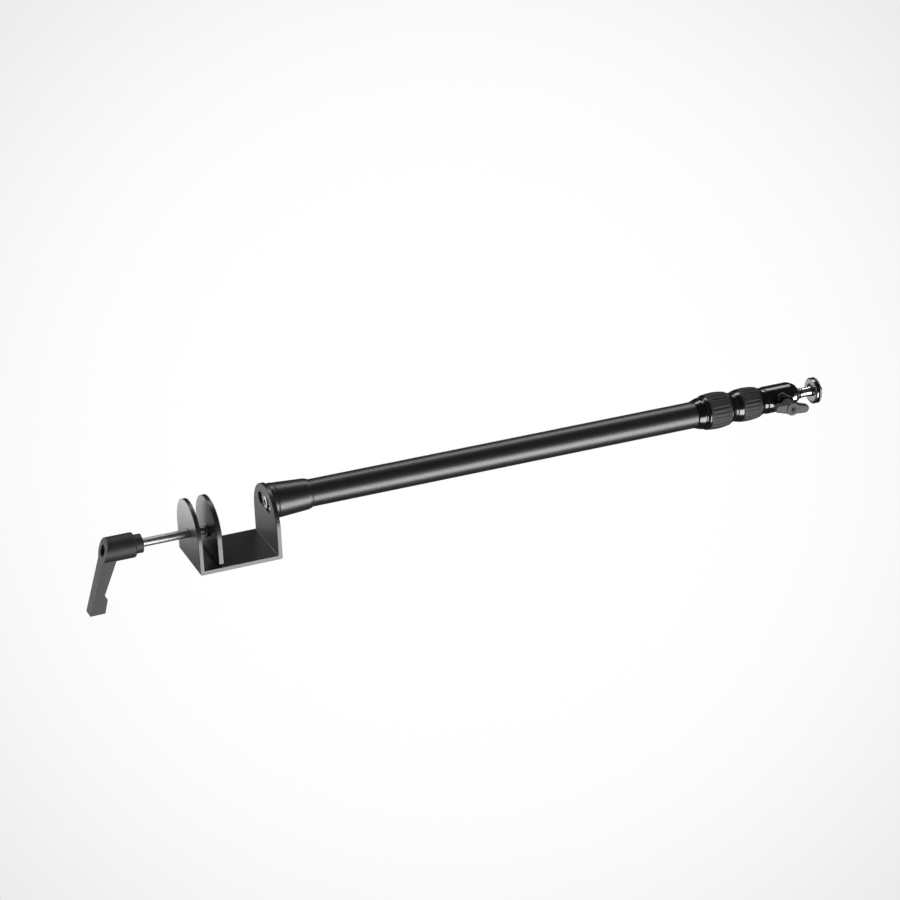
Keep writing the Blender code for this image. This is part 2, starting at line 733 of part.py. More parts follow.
def collet(name, slider, spigot_top):
    """A split taper ring that the collar squeezes on to the sliding tube."""
    low = spigot_top + GAP
    wide = slider + 2 * (GAP + COLLET_WALL)
    narrow = slider + 2 * (GAP + EDGE)
    cone_foot = low + COLLET_CYLINDER
    cone_top = cone_foot + COLLET_CONE
    inside = slider + 2 * GAP
    profile = [(narrow, cone_top), (wide, cone_foot), (wide, low), (inside, low),
               (inside, cone_top)]
    ring = turned(name, profile, "white_acetal", POLE)
    combine(ring, box(name + "_slot", (0, -COLLET_SLOT / 2, low - PLATE),
                      (wide, COLLET_SLOT / 2, cone_top + PLATE), POLE))


def collar(name, outside, slider, low, spigot_top):
    """The turning half, hollow over the spigot and tapered over the collet."""
    bore = slider + 2 * (SPIGOT_WALL + GAP)
    cone_foot = spigot_top + GAP + COLLET_CYLINDER
    cone_top = cone_foot + COLLET_CONE + GAP
    narrow = slider + 2 * (2 * GAP + EDGE) + GAP
    leave = slider + 2 * EXIT_CLEARANCE
    profile = [*outside, (bore, low), (bore, cone_foot), (narrow, cone_top),
               (leave, cone_top), (leave, outside[0][1])]
    turned(name, profile, "gloss_black", POLE)


def grip(name, bulges, body, low, height):
    """A ribbed barrel round a collar's body, each diameter given as more than the body's."""
    last = len(bulges) - 1
    bore = body + 2 * GAP
    barrel = [(body + more, low + height * i / last) for i, more in enumerate(bulges)]
    profile = [*reversed(barrel), (bore, low), (bore, low + height)]
    sleeve = turned(name, profile, "black_rubber", POLE, 2 * RIBS)
    radius = (body + max(bulges)) / 2
    for i in range(RIBS):
        groove = box(f"{name}_groove_{i}", (radius - 2 * RIB_DEPTH, -RIB_LAND, low - PLATE),
                     (radius + PLATE, RIB_LAND, low + height + PLATE), POLE)
        groove.rotation_euler = (0.0, 0.0, 2 * pi * (i + 0.5) / RIBS)
        combine(sleeve, groove)


def lower_lock():
    spigot_top = LOWER_RING_TOP + LOWER_SPIGOT
    foot = OUTER_TOP - LOWER_SKIRT
    ring = OUTER_TUBE + LOWER_RING
    outside = [(ring, LOWER_RING_TOP), (ring, LOWER_RING_TOP - EDGE),
               (ring - 1.8, OUTER_TOP - EDGE), (OUTER_TUBE + 1.4, foot + LOWER_SKIRT / 2),
               (OUTER_TUBE + 1.2, foot)]
    ferrule("lower_ferrule", outside, OUTER_TUBE, MIDDLE_TUBE, OUTER_TOP, spigot_top)
    collet("lower_collet", MIDDLE_TUBE, spigot_top)
    body = MIDDLE_TUBE + 2 * (SPIGOT_WALL + GAP + COLLAR_WALL)
    band = body + LOWER_BAND
    outside = [(body + LOWER_RIM_TOP, LOWER_COLLAR_TOP), (body + LOWER_RIM, LOWER_RIM_FOOT),
               (body, LOWER_RIM_FOOT), (body, LOWER_GRIP_FOOT - GAP),
               (band, LOWER_GRIP_FOOT - GAP), (band - 2.2, LOWER_COLLAR_FOOT)]
    collar("lower_collar", outside, MIDDLE_TUBE, LOWER_COLLAR_FOOT, spigot_top)
    grip("lower_grip", LOWER_GRIP, body, LOWER_GRIP_FOOT, LOWER_GRIP_HEIGHT)


def upper_lock():
    spigot_top = UPPER_RING_TOP + UPPER_SPIGOT
    ring_foot = UPPER_FOOT + UPPER_NECK_HEIGHT
    neck = MIDDLE_TUBE + UPPER_NECK
    outside = [(MIDDLE_TUBE + UPPER_RING, UPPER_RING_TOP),
               (MIDDLE_TUBE + UPPER_RING_FOOT, ring_foot), (neck, ring_foot),
               (neck, UPPER_FOOT)]
    ferrule("upper_ferrule", outside, MIDDLE_TUBE, INNER_TUBE, MIDDLE_TOP, spigot_top)
    collet("upper_collet", INNER_TUBE, spigot_top)
    body = INNER_TUBE + 2 * (SPIGOT_WALL + GAP + COLLAR_WALL)
    outside = [(body + UPPER_RIM_TOP, UPPER_COLLAR_TOP), (body + UPPER_RIM, UPPER_RIM_FOOT),
               (body, UPPER_RIM_FOOT), (body, UPPER_COLLAR_FOOT)]
    collar("upper_collar", outside, INNER_TUBE, UPPER_COLLAR_FOOT, spigot_top)
    grip("upper_grip", UPPER_GRIP, body, UPPER_COLLAR_FOOT, UPPER_GRIP_HEIGHT)


# Ball head

def top_fitting():
    spigot = INNER_TUBE - 2 * TUBE_WALL - 2 * GAP
    bore = HEAD_STUD + 2 * GAP
    foot = FITTING_FOOT - FITTING_SPIGOT
    profile = [(FITTING, FITTING_TOP), (FITTING, FITTING_FOOT), (spigot, FITTING_FOOT),
               (spigot, foot), (bore, foot), (bore, FITTING_TOP)]
    turned("top_fitting", profile, "gloss_black", POLE)
    cylinder("head_stud", HEAD_STUD, FITTING_FOOT - HEAD_STUD_DOWN,
             HOUSING_FOOT + HEAD_STUD_UP, "zinc", POLE)


def sphere_arc(radius, start, end, steps):
    """(diameter, height) points on a sphere about the origin, by height above its centre."""
    heights = [start + (end - start) * i / steps for i in range(steps + 1)]
    return [(2 * sqrt(max(radius ** 2 - h ** 2, 0.0)), h) for h in heights]


def head_housing():
    socket = BALL / 2 + GAP
    bore = HEAD_STUD + 2 * GAP
    bore_top = HOUSING_FOOT + HEAD_STUD_UP + GAP
    floor = bore_top + HOUSING_FLOOR
    lip = [(d, BALL_Z + h) for d, h in sphere_arc(socket, 0.0, BALL_BELOW_MOUTH, 3)]
    shoulder = [(HOUSING - less, HOUSING_TOP - below) for less, below in reversed(SHOULDER)]
    profile = [
        (0, floor),
        (2 * socket, floor),
        *lip,
        (HOUSING - MOUTH_RIM, HOUSING_TOP),
        *shoulder,
        (HOUSING, HOUSING_TOP - SHOULDER_START),
        (HOUSING, HOUSING_FOOT + 2 * EDGE),
        (HOUSING - 2 * EDGE, HOUSING_FOOT),
        (bore, HOUSING_FOOT),
        (bore, bore_top),
        (0, bore_top),
    ]
    housing = turned("head_housing", profile, "gloss_black", POLE)
    boss = cylinder("knob_boss", BOSS, socket + EDGE, BOSS_REACH, None, KNOB, FINE)
    bore = cylinder("knob_bore", KNOB_STUD + 2 * GAP, socket / 2, BOSS_REACH + PLATE, None, KNOB)
    bore.rotation_euler = (0.0, 0.0, pi / SMALL / 2)
    boss.rotation_euler = (0.0, 0.0, pi / FINE / 2)
    combine(housing, boss, "UNION")
    combine(housing, bore)
    notch_z = BALL_Z - NOTCH_FLOOR_BELOW + NOTCH_WIDTH / 2
    outline = [(NOTCH_WIDTH / 2, HOUSING_TOP - notch_z + PLATE),
               (-NOTCH_WIDTH / 2, HOUSING_TOP - notch_z + PLATE),
               *arc(0, 0, NOTCH_WIDTH / 2, 180, 360, 9)]
    notch = prism("drop_notch", outline, socket / 2, HOUSING, None, KNOB)
    notch.location = (0.0, (notch_z - KNOB_Z) * MM, 0.0)
    combine(housing, notch)


def ball_and_seat():
    socket = BALL / 2 + GAP
    dish = sphere_arc(socket, -socket, -SEAT_RIM_BELOW, 4)
    seat_foot = -SEAT_RIM_BELOW - SEAT_HEIGHT
    seat = [*dish, (BALL, -SEAT_RIM_BELOW), (BALL, seat_foot), (0, seat_foot)]
    turned("ball_seat", seat, "white_acetal", CENTRE)
    surface = sphere_arc(BALL / 2, BALL_FLAT, -BALL / 2, 14)
    turned("ball", [(0, BALL_FLAT), *surface], "dark_steel", CENTRE)


def stem_and_platform():
    bore = CAMERA_STUD + 2 * GAP
    seat = STEM_TOP - CAMERA_STUD_SEAT
    stem = [(0, seat), (bore, seat), (bore, STEM_TOP), (STEM, STEM_TOP), (STEM, STEM_FOOT),
            (0, STEM_FOOT)]
    turned("ball_stem", stem, "chrome", CENTRE, SMALL)
    cylinder("camera_stud", CAMERA_STUD, seat + GAP, PAD_FOOT + LOCK_PAD_HEIGHT +
             CAMERA_STUD_REACH, "zinc", CENTRE)
    rim = PLATFORM - 2 * EDGE
    neck_foot = PLATFORM_FOOT + PLATFORM_HEIGHT
    platform = [(PLATFORM_NECK, PLATFORM_TOP), (PLATFORM_NECK, neck_foot), (rim, neck_foot),
                (PLATFORM, neck_foot - EDGE), (PLATFORM, PLATFORM_FOOT + EDGE),
                (rim, PLATFORM_FOOT), (bore, PLATFORM_FOOT), (bore, PLATFORM_TOP)]
    turned("platform", platform, "dark_steel", CENTRE)
    disc = [(rim, DISC_TOP), (PLATFORM, DISC_TOP - EDGE), (PLATFORM, DISC_FOOT + EDGE),
            (rim, DISC_FOOT), (bore, DISC_FOOT), (bore, DISC_TOP)]
    turned("lock_disc", disc, "dark_steel", CENTRE)
    pad = [(LOCK_PAD, PAD_FOOT + LOCK_PAD_HEIGHT), (LOCK_PAD, PAD_FOOT), (bore + EDGE, PAD_FOOT),
           (bore + EDGE, PAD_FOOT + LOCK_PAD_HEIGHT)]
    turned("platform_pad", pad, "black_rubber", CENTRE)


def wing_knob():
    foot = BOSS_REACH + GAP
    stud_bore = KNOB_STUD + 2 * GAP
    screw_bore = KNOB_SCREW + 2 * GAP
    recess = KNOB_SCREW_HEAD + 2 * GAP
    recess_floor = KNOB_FRONT - KNOB_SCREW_RECESS
    seat = KNOB_FRONT - KNOB_STUD_SEAT
    profile = [(KNOB_HUB - 2 * EDGE, KNOB_FRONT), (KNOB_HUB, KNOB_FRONT - EDGE),
               (KNOB_HUB, foot), (stud_bore, foot), (stud_bore, seat), (screw_bore, seat),
               (screw_bore, recess_floor), (recess, recess_floor), (recess, KNOB_FRONT)]
    knob = turned("wing_knob", profile, "grey_nylon", KNOB, SMALL)
    for side, turn in (("upper", 0.0), ("lower", 180.0)):
        combine(knob, wing(side + "_wing", turn), "UNION")
    stud_top = seat - GAP
    socket = stud_top - KNOB_SCREW_REACH - GAP
    stud = [(0, socket), (screw_bore, socket), (screw_bore, stud_top), (KNOB_STUD, stud_top),
            (KNOB_STUD, KNOB_STUD_END), (0, KNOB_STUD_END)]
    turned("knob_stud", stud, "zinc", KNOB, SMALL)
    head_foot = recess_floor + GAP
    head_top = KNOB_FRONT - GAP
    screw = [(0, head_top), (KNOB_SCREW_HEAD, head_top), (KNOB_SCREW_HEAD, head_foot),
             (KNOB_SCREW, head_foot), (KNOB_SCREW, socket + GAP), (0, socket + GAP)]
    turned("knob_screw", screw, "dark_steel", KNOB, SMALL)


def wing(name, turn):
    """One blade, from the hub's wall to its rounded tip."""
    tip = WING_TIP / 2
    root = (KNOB_SCREW_HEAD / 2 + KNOB_HUB / 2) / 2
    high = KNOB_FRONT - WING_SETBACK
    outline = [(WING_ROOT / 2, root), *arc(0, WING_SPAN / 2 - tip, tip, 0, 180, 8),
               (-WING_ROOT / 2, root)]
    blade = prism(name, outline, high - WING_THICKNESS, high, None, KNOB)
    blade.rotation_euler = (0.0, 0.0, radians(turn - WING_LEAN))
    return blade


clear_scene()
PARTS = new_collection("desk_mount_pole")
CUTTERS = new_collection("cutters")
SCREW = axis_frame("clamp_screw_axis", 0, 0)
POLE = axis_frame("pole_axis", -POLE_OFFSET, 0)
CENTRE = axis_frame("ball_centre", -POLE_OFFSET, BALL_Z)
KNOB = axis_frame("knob_axis", -POLE_OFFSET, KNOB_Z, tilt=90.0)

bracket(SCREW)
clamp_nut(SCREW)
jaw(SCREW)
jaw_retainers(SCREW)
clamp_screw(SCREW)
lever_insert(SCREW)
lever_screw(SCREW)
lever_spring(SCREW)
lever(SCREW)
base_bolt()
base_plug()
base_sleeve()
tubes()
lower_lock()
upper_lock()
top_fitting()
head_housing()
ball_and_seat()
stem_and_platform()
wing_knob()
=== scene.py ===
"""Looks of the desk mount pole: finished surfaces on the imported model, lights and camera.

Sizes are in millimetres unless a name says otherwise, and the helpers scale them to metres.
Sizes of turned pieces and of holes are diameters.
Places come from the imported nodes' boxes, so every piece sits where its node is.
"""
import json
from math import cos, pi, radians, sin, sqrt

import bmesh
import bpy
from mathutils import Matrix, Vector

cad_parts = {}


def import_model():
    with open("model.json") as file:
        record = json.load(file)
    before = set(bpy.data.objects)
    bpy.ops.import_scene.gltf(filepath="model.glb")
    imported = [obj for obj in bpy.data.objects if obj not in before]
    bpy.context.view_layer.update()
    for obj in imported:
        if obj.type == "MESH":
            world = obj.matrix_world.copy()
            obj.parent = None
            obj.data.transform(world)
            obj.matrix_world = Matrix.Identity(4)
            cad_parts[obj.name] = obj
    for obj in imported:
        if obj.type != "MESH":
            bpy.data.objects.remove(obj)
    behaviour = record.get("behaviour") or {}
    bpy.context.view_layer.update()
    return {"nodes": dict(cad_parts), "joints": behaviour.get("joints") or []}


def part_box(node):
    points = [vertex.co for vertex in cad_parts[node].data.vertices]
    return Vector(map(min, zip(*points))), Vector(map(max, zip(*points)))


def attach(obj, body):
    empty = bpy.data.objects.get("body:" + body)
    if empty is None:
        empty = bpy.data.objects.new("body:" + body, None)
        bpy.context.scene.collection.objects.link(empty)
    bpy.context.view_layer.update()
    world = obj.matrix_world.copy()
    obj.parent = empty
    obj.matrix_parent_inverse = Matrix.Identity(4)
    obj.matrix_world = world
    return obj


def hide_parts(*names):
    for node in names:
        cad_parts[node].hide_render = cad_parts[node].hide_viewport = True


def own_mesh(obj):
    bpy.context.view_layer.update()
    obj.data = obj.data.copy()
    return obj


MM = 0.001
TAU = 2 * pi

# Camera, from the photograph's vanishing directions: its right, up and back in the frame
CAMERA_RIGHT = Vector((0.035143, -0.385070, 0.922218))
CAMERA_UP = Vector((-0.913013, 0.362895, 0.186318))
CAMERA_BACK = Vector((-0.406414, -0.848545, -0.338821))
CAMERA_EYE = Vector((-1.059441, -2.150548, -0.677032))
CAMERA_LENS = 110.27
CAMERA_SENSOR = 36.0

# Fineness of the turned pieces and of the threads
AROUND = 128
AROUND_SMALL = 96
AROUND_THREAD = 48
ROWS_IN_A_PITCH = 6

# Corners of a profile: steps in each, the share of a side that one may take, the smallest one
# worth drawing, and the angle from which a side runs on straight
CORNER_STEPS = 3
CORNER_SHARE = 0.45
LEAST_CORNER = 0.01
NEARLY_STRAIGHT = pi - 0.12

LEAST_DIAMETER = 0.001  # below this a turned piece closes in a point
SHARP = radians(35)
CUTTER = 10.0  # how far a cutting tool runs past the piece

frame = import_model()


# Places taken from the frame

def span(node):
    """Lowest and highest corner of a node, in millimetres."""
    low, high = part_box(node)
    return Vector(low) / MM, Vector(high) / MM


def centre_x(node):
    low, high = span(node)
    return (low.x + high.x) / 2


def joint_height(name):
    return next(j["pos_m"][2] for j in frame["joints"] if j["name"] == name) / MM


POLE_X = centre_x("outer_tube")
POLE = (POLE_X, 0, 0)
BALL_Z = joint_height("ball_tilt")
KNOB_Z = joint_height("wing_knob_turn")


# Outlines and profiles

def arc(x, y, radius, start, end, count=24):
    angles = [radians(start + (end - start) * i / count) for i in range(count + 1)]
    return [(x + radius * cos(a), y + radius * sin(a)) for a in angles]


def circle(diameter, corners=36):
    return arc(0, 0, diameter / 2, 0, 360 - 360 / corners, corners - 1)


def hexagon(flats):
    return arc(0, 0, flats / sqrt(3), 0, 300, 5)


def oval(length, width):
    reach = (length - width) / 2
    return arc(0, reach, width / 2, 0, 180) + arc(0, -reach, width / 2, 180, 360)


def ring(outer, inner, top, foot):
    """Profile of a plain ring."""
    return [(outer, top), (outer, foot), (inner, foot), (inner, top)]


def rod(diameter, top, foot):
    """Profile of a plain rod."""
    return [(0, top), (diameter, top), (diameter, foot), (0, foot)]


def headed_rod(shank, top, head, seat, foot):
    """Profile of a screw whose shank runs from the top to the seat, and its head to the foot."""
    return [(0, top), (shank, top), (shank, seat), (head, seat), (head, foot), (0, foot)]


def sphere_rows(radius, start, end, count):
    heights = [start + (end - start) * i / count for i in range(count + 1)]
    return [(2 * sqrt(max(radius ** 2 - h ** 2, 0.0)), h) for h in heights]


def steps(start, end, pitch):
    """Heights from one level to another, about a pitch apart."""
    count = max(1, round(abs(end - start) / pitch))
    return [start + (end - start) * i / count for i in range(count + 1)]


def smooth_between(values, i, t):
    """A smooth curve through evenly spaced values."""
    before = values[max(i - 1, 0)]
    after = values[min(i + 2, len(values) - 1)]
    a, b = values[i], values[i + 1]
    bend_a, bend_b = (b - before) / 2, (after - a) / 2
    return (a * (1 + 2 * t) * (1 - t) ** 2 + bend_a * t * (1 - t) ** 2
            + b * t * t * (3 - 2 * t) + bend_b * t * t * (t - 1))


def soften(profile, radius, closed):
    """Round the corners of a profile, each by no more than its shorter side allows."""
    count = len(profile)
    result = []
    for i, point in enumerate(profile):
        if not closed and i in (0, count - 1):
            result.append(point)
            continue
        here = Vector(point)
        before = Vector(profile[i - 1]) - here
        after = Vector(profile[(i + 1) % count]) - here
        reach = min(radius, before.length * CORNER_SHARE, after.length * CORNER_SHARE)
        if reach < LEAST_CORNER or before.angle(after) > NEARLY_STRAIGHT:
            result.append(point)
            continue
        start = here + before.normalized() * reach
        end = here + after.normalized() * reach
        for step in range(CORNER_STEPS + 1):
            t = step / CORNER_STEPS
            bend = start * (1 - t) ** 2 + here * 2 * t * (1 - t) + end * t ** 2
            result.append(tuple(bend))
    return result


# Meshes and objects

def new_object(name, mesh, look, smooth=True):
    obj = bpy.data.objects.new(name, mesh)
    bpy.context.scene.collection.objects.link(obj)
    mesh.materials.clear()
    if look:
        mesh.materials.append(look)
    if smooth:
        mesh.shade_smooth()
        mesh.set_sharp_from_angle(angle=SHARP)
    return obj


def mesh_from(name, shape):
    mesh = bpy.data.meshes.new(name)
    bmesh.ops.recalc_face_normals(shape, faces=shape.faces)
    shape.to_mesh(mesh)
    shape.free()
    return mesh


def join_rings(shape, upper, lower):
    """Faces between two rings of vertices, either of which may be a single point."""
    count = max(len(upper), len(lower))
    for i in range(count):
        j = (i + 1) % count
        if len(upper) == 1:
            shape.faces.new((upper[0], lower[j], lower[i]))
        elif len(lower) == 1:
            shape.faces.new((upper[i], upper[j], lower[0]))
        else:
            shape.faces.new((upper[i], upper[j], lower[j], lower[i]))


def lathe_shape(profile, radius=0.3, around=AROUND, ripple=None):
    """Turn (diameter, height) points about Z. A ripple changes the radius along the way."""
    closed = profile[0][0] > 0
    shape = bmesh.new()
    rings = []
    for diameter, height in soften(profile, radius, closed):
        if diameter < LEAST_DIAMETER:
            rings.append([shape.verts.new((0.0, 0.0, height * MM))])
            continue
        turn = []
        for i in range(around):
            angle = TAU * i / around
            r = diameter / 2
            if ripple:
                r += ripple(angle, r, height)
            turn.append(shape.verts.new((r * cos(angle) * MM, r * sin(angle) * MM, height * MM)))
        rings.append(turn)
    pairs = list(zip(rings, rings[1:]))
    if closed:
        pairs.append((rings[-1], rings[0]))
    for upper, lower in pairs:
        join_rings(shape, upper, lower)
    return shape


def prism_shape(outline, low, high):
    shape = bmesh.new()
    foot = [shape.verts.new((x * MM, y * MM, low * MM)) for x, y in outline]
    top = [shape.verts.new((x * MM, y * MM, high * MM)) for x, y in outline]
    shape.faces.new(foot)
    shape.faces.new(top)
    join_rings(shape, top, foot)
    return shape


def placed(name, shape, look, at):
    obj = new_object(name, mesh_from(name, shape), look)
    obj.location = Vector(at) * MM
    return obj


def lathe(name, profile, look=None, at=(0, 0, 0), **shape_options):
    return placed(name, lathe_shape(profile, **shape_options), look, at)


def prism(name, outline, low, high, look=None, at=(0, 0, 0)):
    return placed(name, prism_shape(outline, low, high), look, at)


def stand_up(obj):
    """Turn a prism drawn in (x, z) so that its thickness runs along Y."""
    obj.data.transform(Matrix.Rotation(radians(90), 4, "X"))
    return obj


def apply_modifiers(obj):
    bpy.context.view_layer.update()
    evaluated = obj.evaluated_get(bpy.context.evaluated_depsgraph_get())
    mesh = bpy.data.meshes.new_from_object(evaluated)
    old = obj.data
    obj.modifiers.clear()
    obj.data = mesh
    bpy.data.meshes.remove(old)


def combine(target, tool, operation="DIFFERENCE"):
    """Cut, join or intersect at once, and throw the tool away."""
    change = target.modifiers.new("combine", "BOOLEAN")
    change.operation = operation
    change.solver = "EXACT"
    change.object = tool
    apply_modifiers(target)
    bpy.data.objects.remove(tool)
    return target


def drill(target, diameter, low, high, corners=36):
    return combine(target, prism("hole", circle(diameter, corners), low, high))


def bevel(obj, width, segments, limit):
    change = obj.modifiers.new("round", "BEVEL")
    change.width = width * MM
    change.segments = segments
    change.limit_method = limit
    return change


def round_edges(obj, width, segments=3, angle=30):
    bevel(obj, width, segments, "ANGLE").angle_limit = radians(angle)
    apply_modifiers(obj)
    flat_normals(obj)


def round_marked(obj, chosen, width, segments=5):
    """Round only the edges whose two ends lie where the test says."""
    mesh = obj.data
    weight = mesh.attributes.new("bevel_weight_edge", "FLOAT", "EDGE")
    for edge in mesh.edges:
        ends = [mesh.vertices[i].co / MM for i in edge.vertices]
        weight.data[edge.index].value = float(chosen(ends[0]) and chosen(ends[1]))
    bevel(obj, width, segments, "WEIGHT")
    apply_modifiers(obj)


def flat_normals(obj):
    """Keep large faces flat in the shading, and let the rounded edges carry the turn."""
    obj.data.shade_smooth()
    obj.data.set_sharp_from_angle(angle=SHARP)
    weigh = obj.modifiers.new("weigh", "WEIGHTED_NORMAL")
    weigh.keep_sharp = True
    apply_modifiers(obj)


def thread(pitch, depth, low, high):
    """A ripple that cuts a V thread between two heights, fading out at both ends."""
    def cut(angle, radius, height):
        if height < low or height > high:
            return 0.0
        fade = min(1.0, (height - low) / pitch, (high - height) / pitch)
        turn = (height / pitch - angle / TAU) % 1.0
        return -depth * fade * abs(2 * turn - 1)
    return cut


def stand_in(obj, node, body):
    """The piece stands in for the node, which is hidden, and rides on the given body."""
    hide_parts(node)
    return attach(obj, body)


def turned(name, profile, look, node, body, **options):
    """A lathed piece in a node's place."""
    return stand_in(lathe(name, profile, look, **options), node, body)


# Node trees

WHITE = (1.0, 1.0, 1.0, 1.0)

# Fine grain and broad tone: Noise stays mostly between these two values
NOISE_LOW = 0.3
NOISE_HIGH = 0.7
TONE_SCALE = 60.0


def new_look(name):
    look = bpy.data.materials.new(name)
    look.use_nodes = True
    nodes = look.node_tree.nodes
    return look, nodes, look.node_tree.links, nodes["Principled BSDF"]


def add_node(nodes, kind, values):
    """A new node, with its inputs set by name or number."""
    node = nodes.new(kind)
    for socket, value in values.items():
        node.inputs[socket].default_value = value
    return node


def map_smoothly(nodes, links, value, ends):
    """A value eased from one range to another."""
    node = add_node(nodes, "ShaderNodeMapRange", ends)
    node.interpolation_type = "SMOOTHSTEP"
    links.new(value, node.inputs["Value"])
    return node.outputs["Result"]


def math_of(nodes, links, operation, first, second):
    node = nodes.new("ShaderNodeMath")
    node.operation = operation
    links.new(first, node.inputs[0])
    links.new(second, node.inputs[1])
    return node.outputs["Value"]


def tone_of(nodes, links, value, dark, light, low=0.0, high=1.0):
    """A colour between a dark and a light one."""
    node = nodes.new("ShaderNodeValToRGB")
    first, last = node.color_ramp.elements
    first.position, last.position = low, high
    first.color, last.color = (*dark, 1.0), (*light, 1.0)
    links.new(value, node.inputs["Fac"])
    return node.outputs["Color"]


def pale_rays(nodes, links, share):
    """Camera rays in full, and mirrored and refracted rays by a share."""
    path = nodes.new("ShaderNodeLightPath")
    mirrored = math_of(nodes, links, "ADD", path.outputs["Is Glossy Ray"],
                       path.outputs["Is Transmission Ray"])
    shown = math_of(nodes, links, "MULTIPLY", mirrored, share)
    return math_of(nodes, links, "ADD", path.outputs["Is Camera Ray"], shown)


def surface(name, colour, roughness, metallic=0.0, ior=1.5, grain=1500, bump=0.1, depth=0.02,
            spread=0.06, tint=0.12):
    """A finish with fine grain in its height and roughness and a soft change of tone."""
    look, nodes, links, shader = new_look(name)
    shader.inputs["Metallic"].default_value = metallic
    shader.inputs["IOR"].default_value = ior
    place = nodes.new("ShaderNodeTexCoord")

    fine = add_node(nodes, "ShaderNodeTexNoise",
                    {"Scale": grain, "Detail": 4.0, "Roughness": 0.6})
    links.new(place.outputs["Object"], fine.inputs["Vector"])
    rough = add_node(nodes, "ShaderNodeMapRange", {
        "From Min": NOISE_LOW, "From Max": NOISE_HIGH,
        "To Min": roughness - spread, "To Max": roughness + spread})
    links.new(fine.outputs["Fac"], rough.inputs["Value"])
    links.new(rough.outputs["Result"], shader.inputs["Roughness"])
    height = add_node(nodes, "ShaderNodeBump", {"Strength": bump, "Distance": depth * MM})
    links.new(fine.outputs["Fac"], height.inputs["Height"])
    links.new(height.outputs["Normal"], shader.inputs["Normal"])

    broad = add_node(nodes, "ShaderNodeTexNoise", {"Scale": TONE_SCALE, "Detail": 3.0})
    links.new(place.outputs["Object"], broad.inputs["Vector"])
    dark = [c * (1 - tint) for c in colour]
    light = [c * (1 + tint) for c in colour]
    tone = tone_of(nodes, links, broad.outputs["Fac"], dark, light, NOISE_LOW, NOISE_HIGH)
    links.new(tone, shader.inputs["Base Color"])
    return look


# Materials

POWDER_COAT = surface("powder_coat", (0.009, 0.009, 0.009), 0.36, ior=1.7, grain=1400,
                      bump=0.3, spread=0.07)
TUBE_COAT = surface("tube_coat", (0.006, 0.006, 0.006), 0.38, ior=1.75, grain=2600, bump=0.3,
                    depth=0.01, spread=0.07)
GLOSS_BLACK = surface("gloss_black", (0.004, 0.004, 0.004), 0.16, ior=1.8, grain=500,
                      bump=0.05, depth=0.01, spread=0.03)
GRIP_RUBBER = surface("grip_rubber", (0.022, 0.022, 0.022), 0.62, grain=1800, bump=0.5,
                      depth=0.05, spread=0.08)
PAD_RUBBER = surface("pad_rubber", (0.012, 0.012, 0.012), 0.8, grain=1200, bump=0.6,
                     depth=0.08)
NYLON = surface("textured_nylon", (0.018, 0.018, 0.018), 0.52, grain=1600, bump=0.6,
                depth=0.04, spread=0.08)
KNOB_NYLON = surface("knob_nylon", (0.040, 0.040, 0.040), 0.55, grain=1800, bump=0.4,
                     depth=0.03, spread=0.08)
ZINC = surface("zinc_plate", (0.46, 0.46, 0.47), 0.38, 1.0, grain=900, bump=0.08,
               depth=0.01, spread=0.05, tint=0.05)
DULL_ZINC = surface("dull_zinc", (0.30, 0.30, 0.31), 0.42, 1.0, grain=1100, bump=0.15,
                    depth=0.01, tint=0.08)
CHROME = surface("chrome_plate", (0.62, 0.62, 0.63), 0.14, 1.0, grain=700, bump=0.03,
                 depth=0.005, spread=0.03, tint=0.03)
NICKEL = surface("dark_nickel", (0.20, 0.20, 0.205), 0.14, 1.0, grain=900, bump=0.06,
                 depth=0.01, tint=0.08)
OXIDE = surface("black_oxide", (0.05, 0.05, 0.052), 0.45, 0.6, grain=1300, bump=0.2,
                depth=0.01)
ACETAL = surface("white_acetal", (0.62, 0.62, 0.60), 0.45, grain=1200, depth=0.01, tint=0.04)


# Clamp bracket and jaw

EAR_FOOT_BEVEL = 0.45
BEND_OUTER = 1.5
BEND_INNER = 0.5
ROD_CLEARANCE = 0.8
BOLT_CLEARANCE = 0.6
BASE_POCKET = 3.0
JAW_BORE = 6.6
JAW_RECESS = 12.5
JAW_RECESS_DEPTH = 2.2
PAD_BORE = 14.0
PAD_BEVEL = 0.25
LARGE_HOLE_CORNERS = 45
NUT_BORE = 8.8
ROD_PITCH = 1.25
ROD_THREAD_DEPTH = 0.2
ROD_NECK = 6.0
ROD_CHAMFER = 0.6


def ear_outline(radius, foot):
    return [(foot, radius), *arc(0, 0, radius, 90, 270, 96), (foot, -radius)]


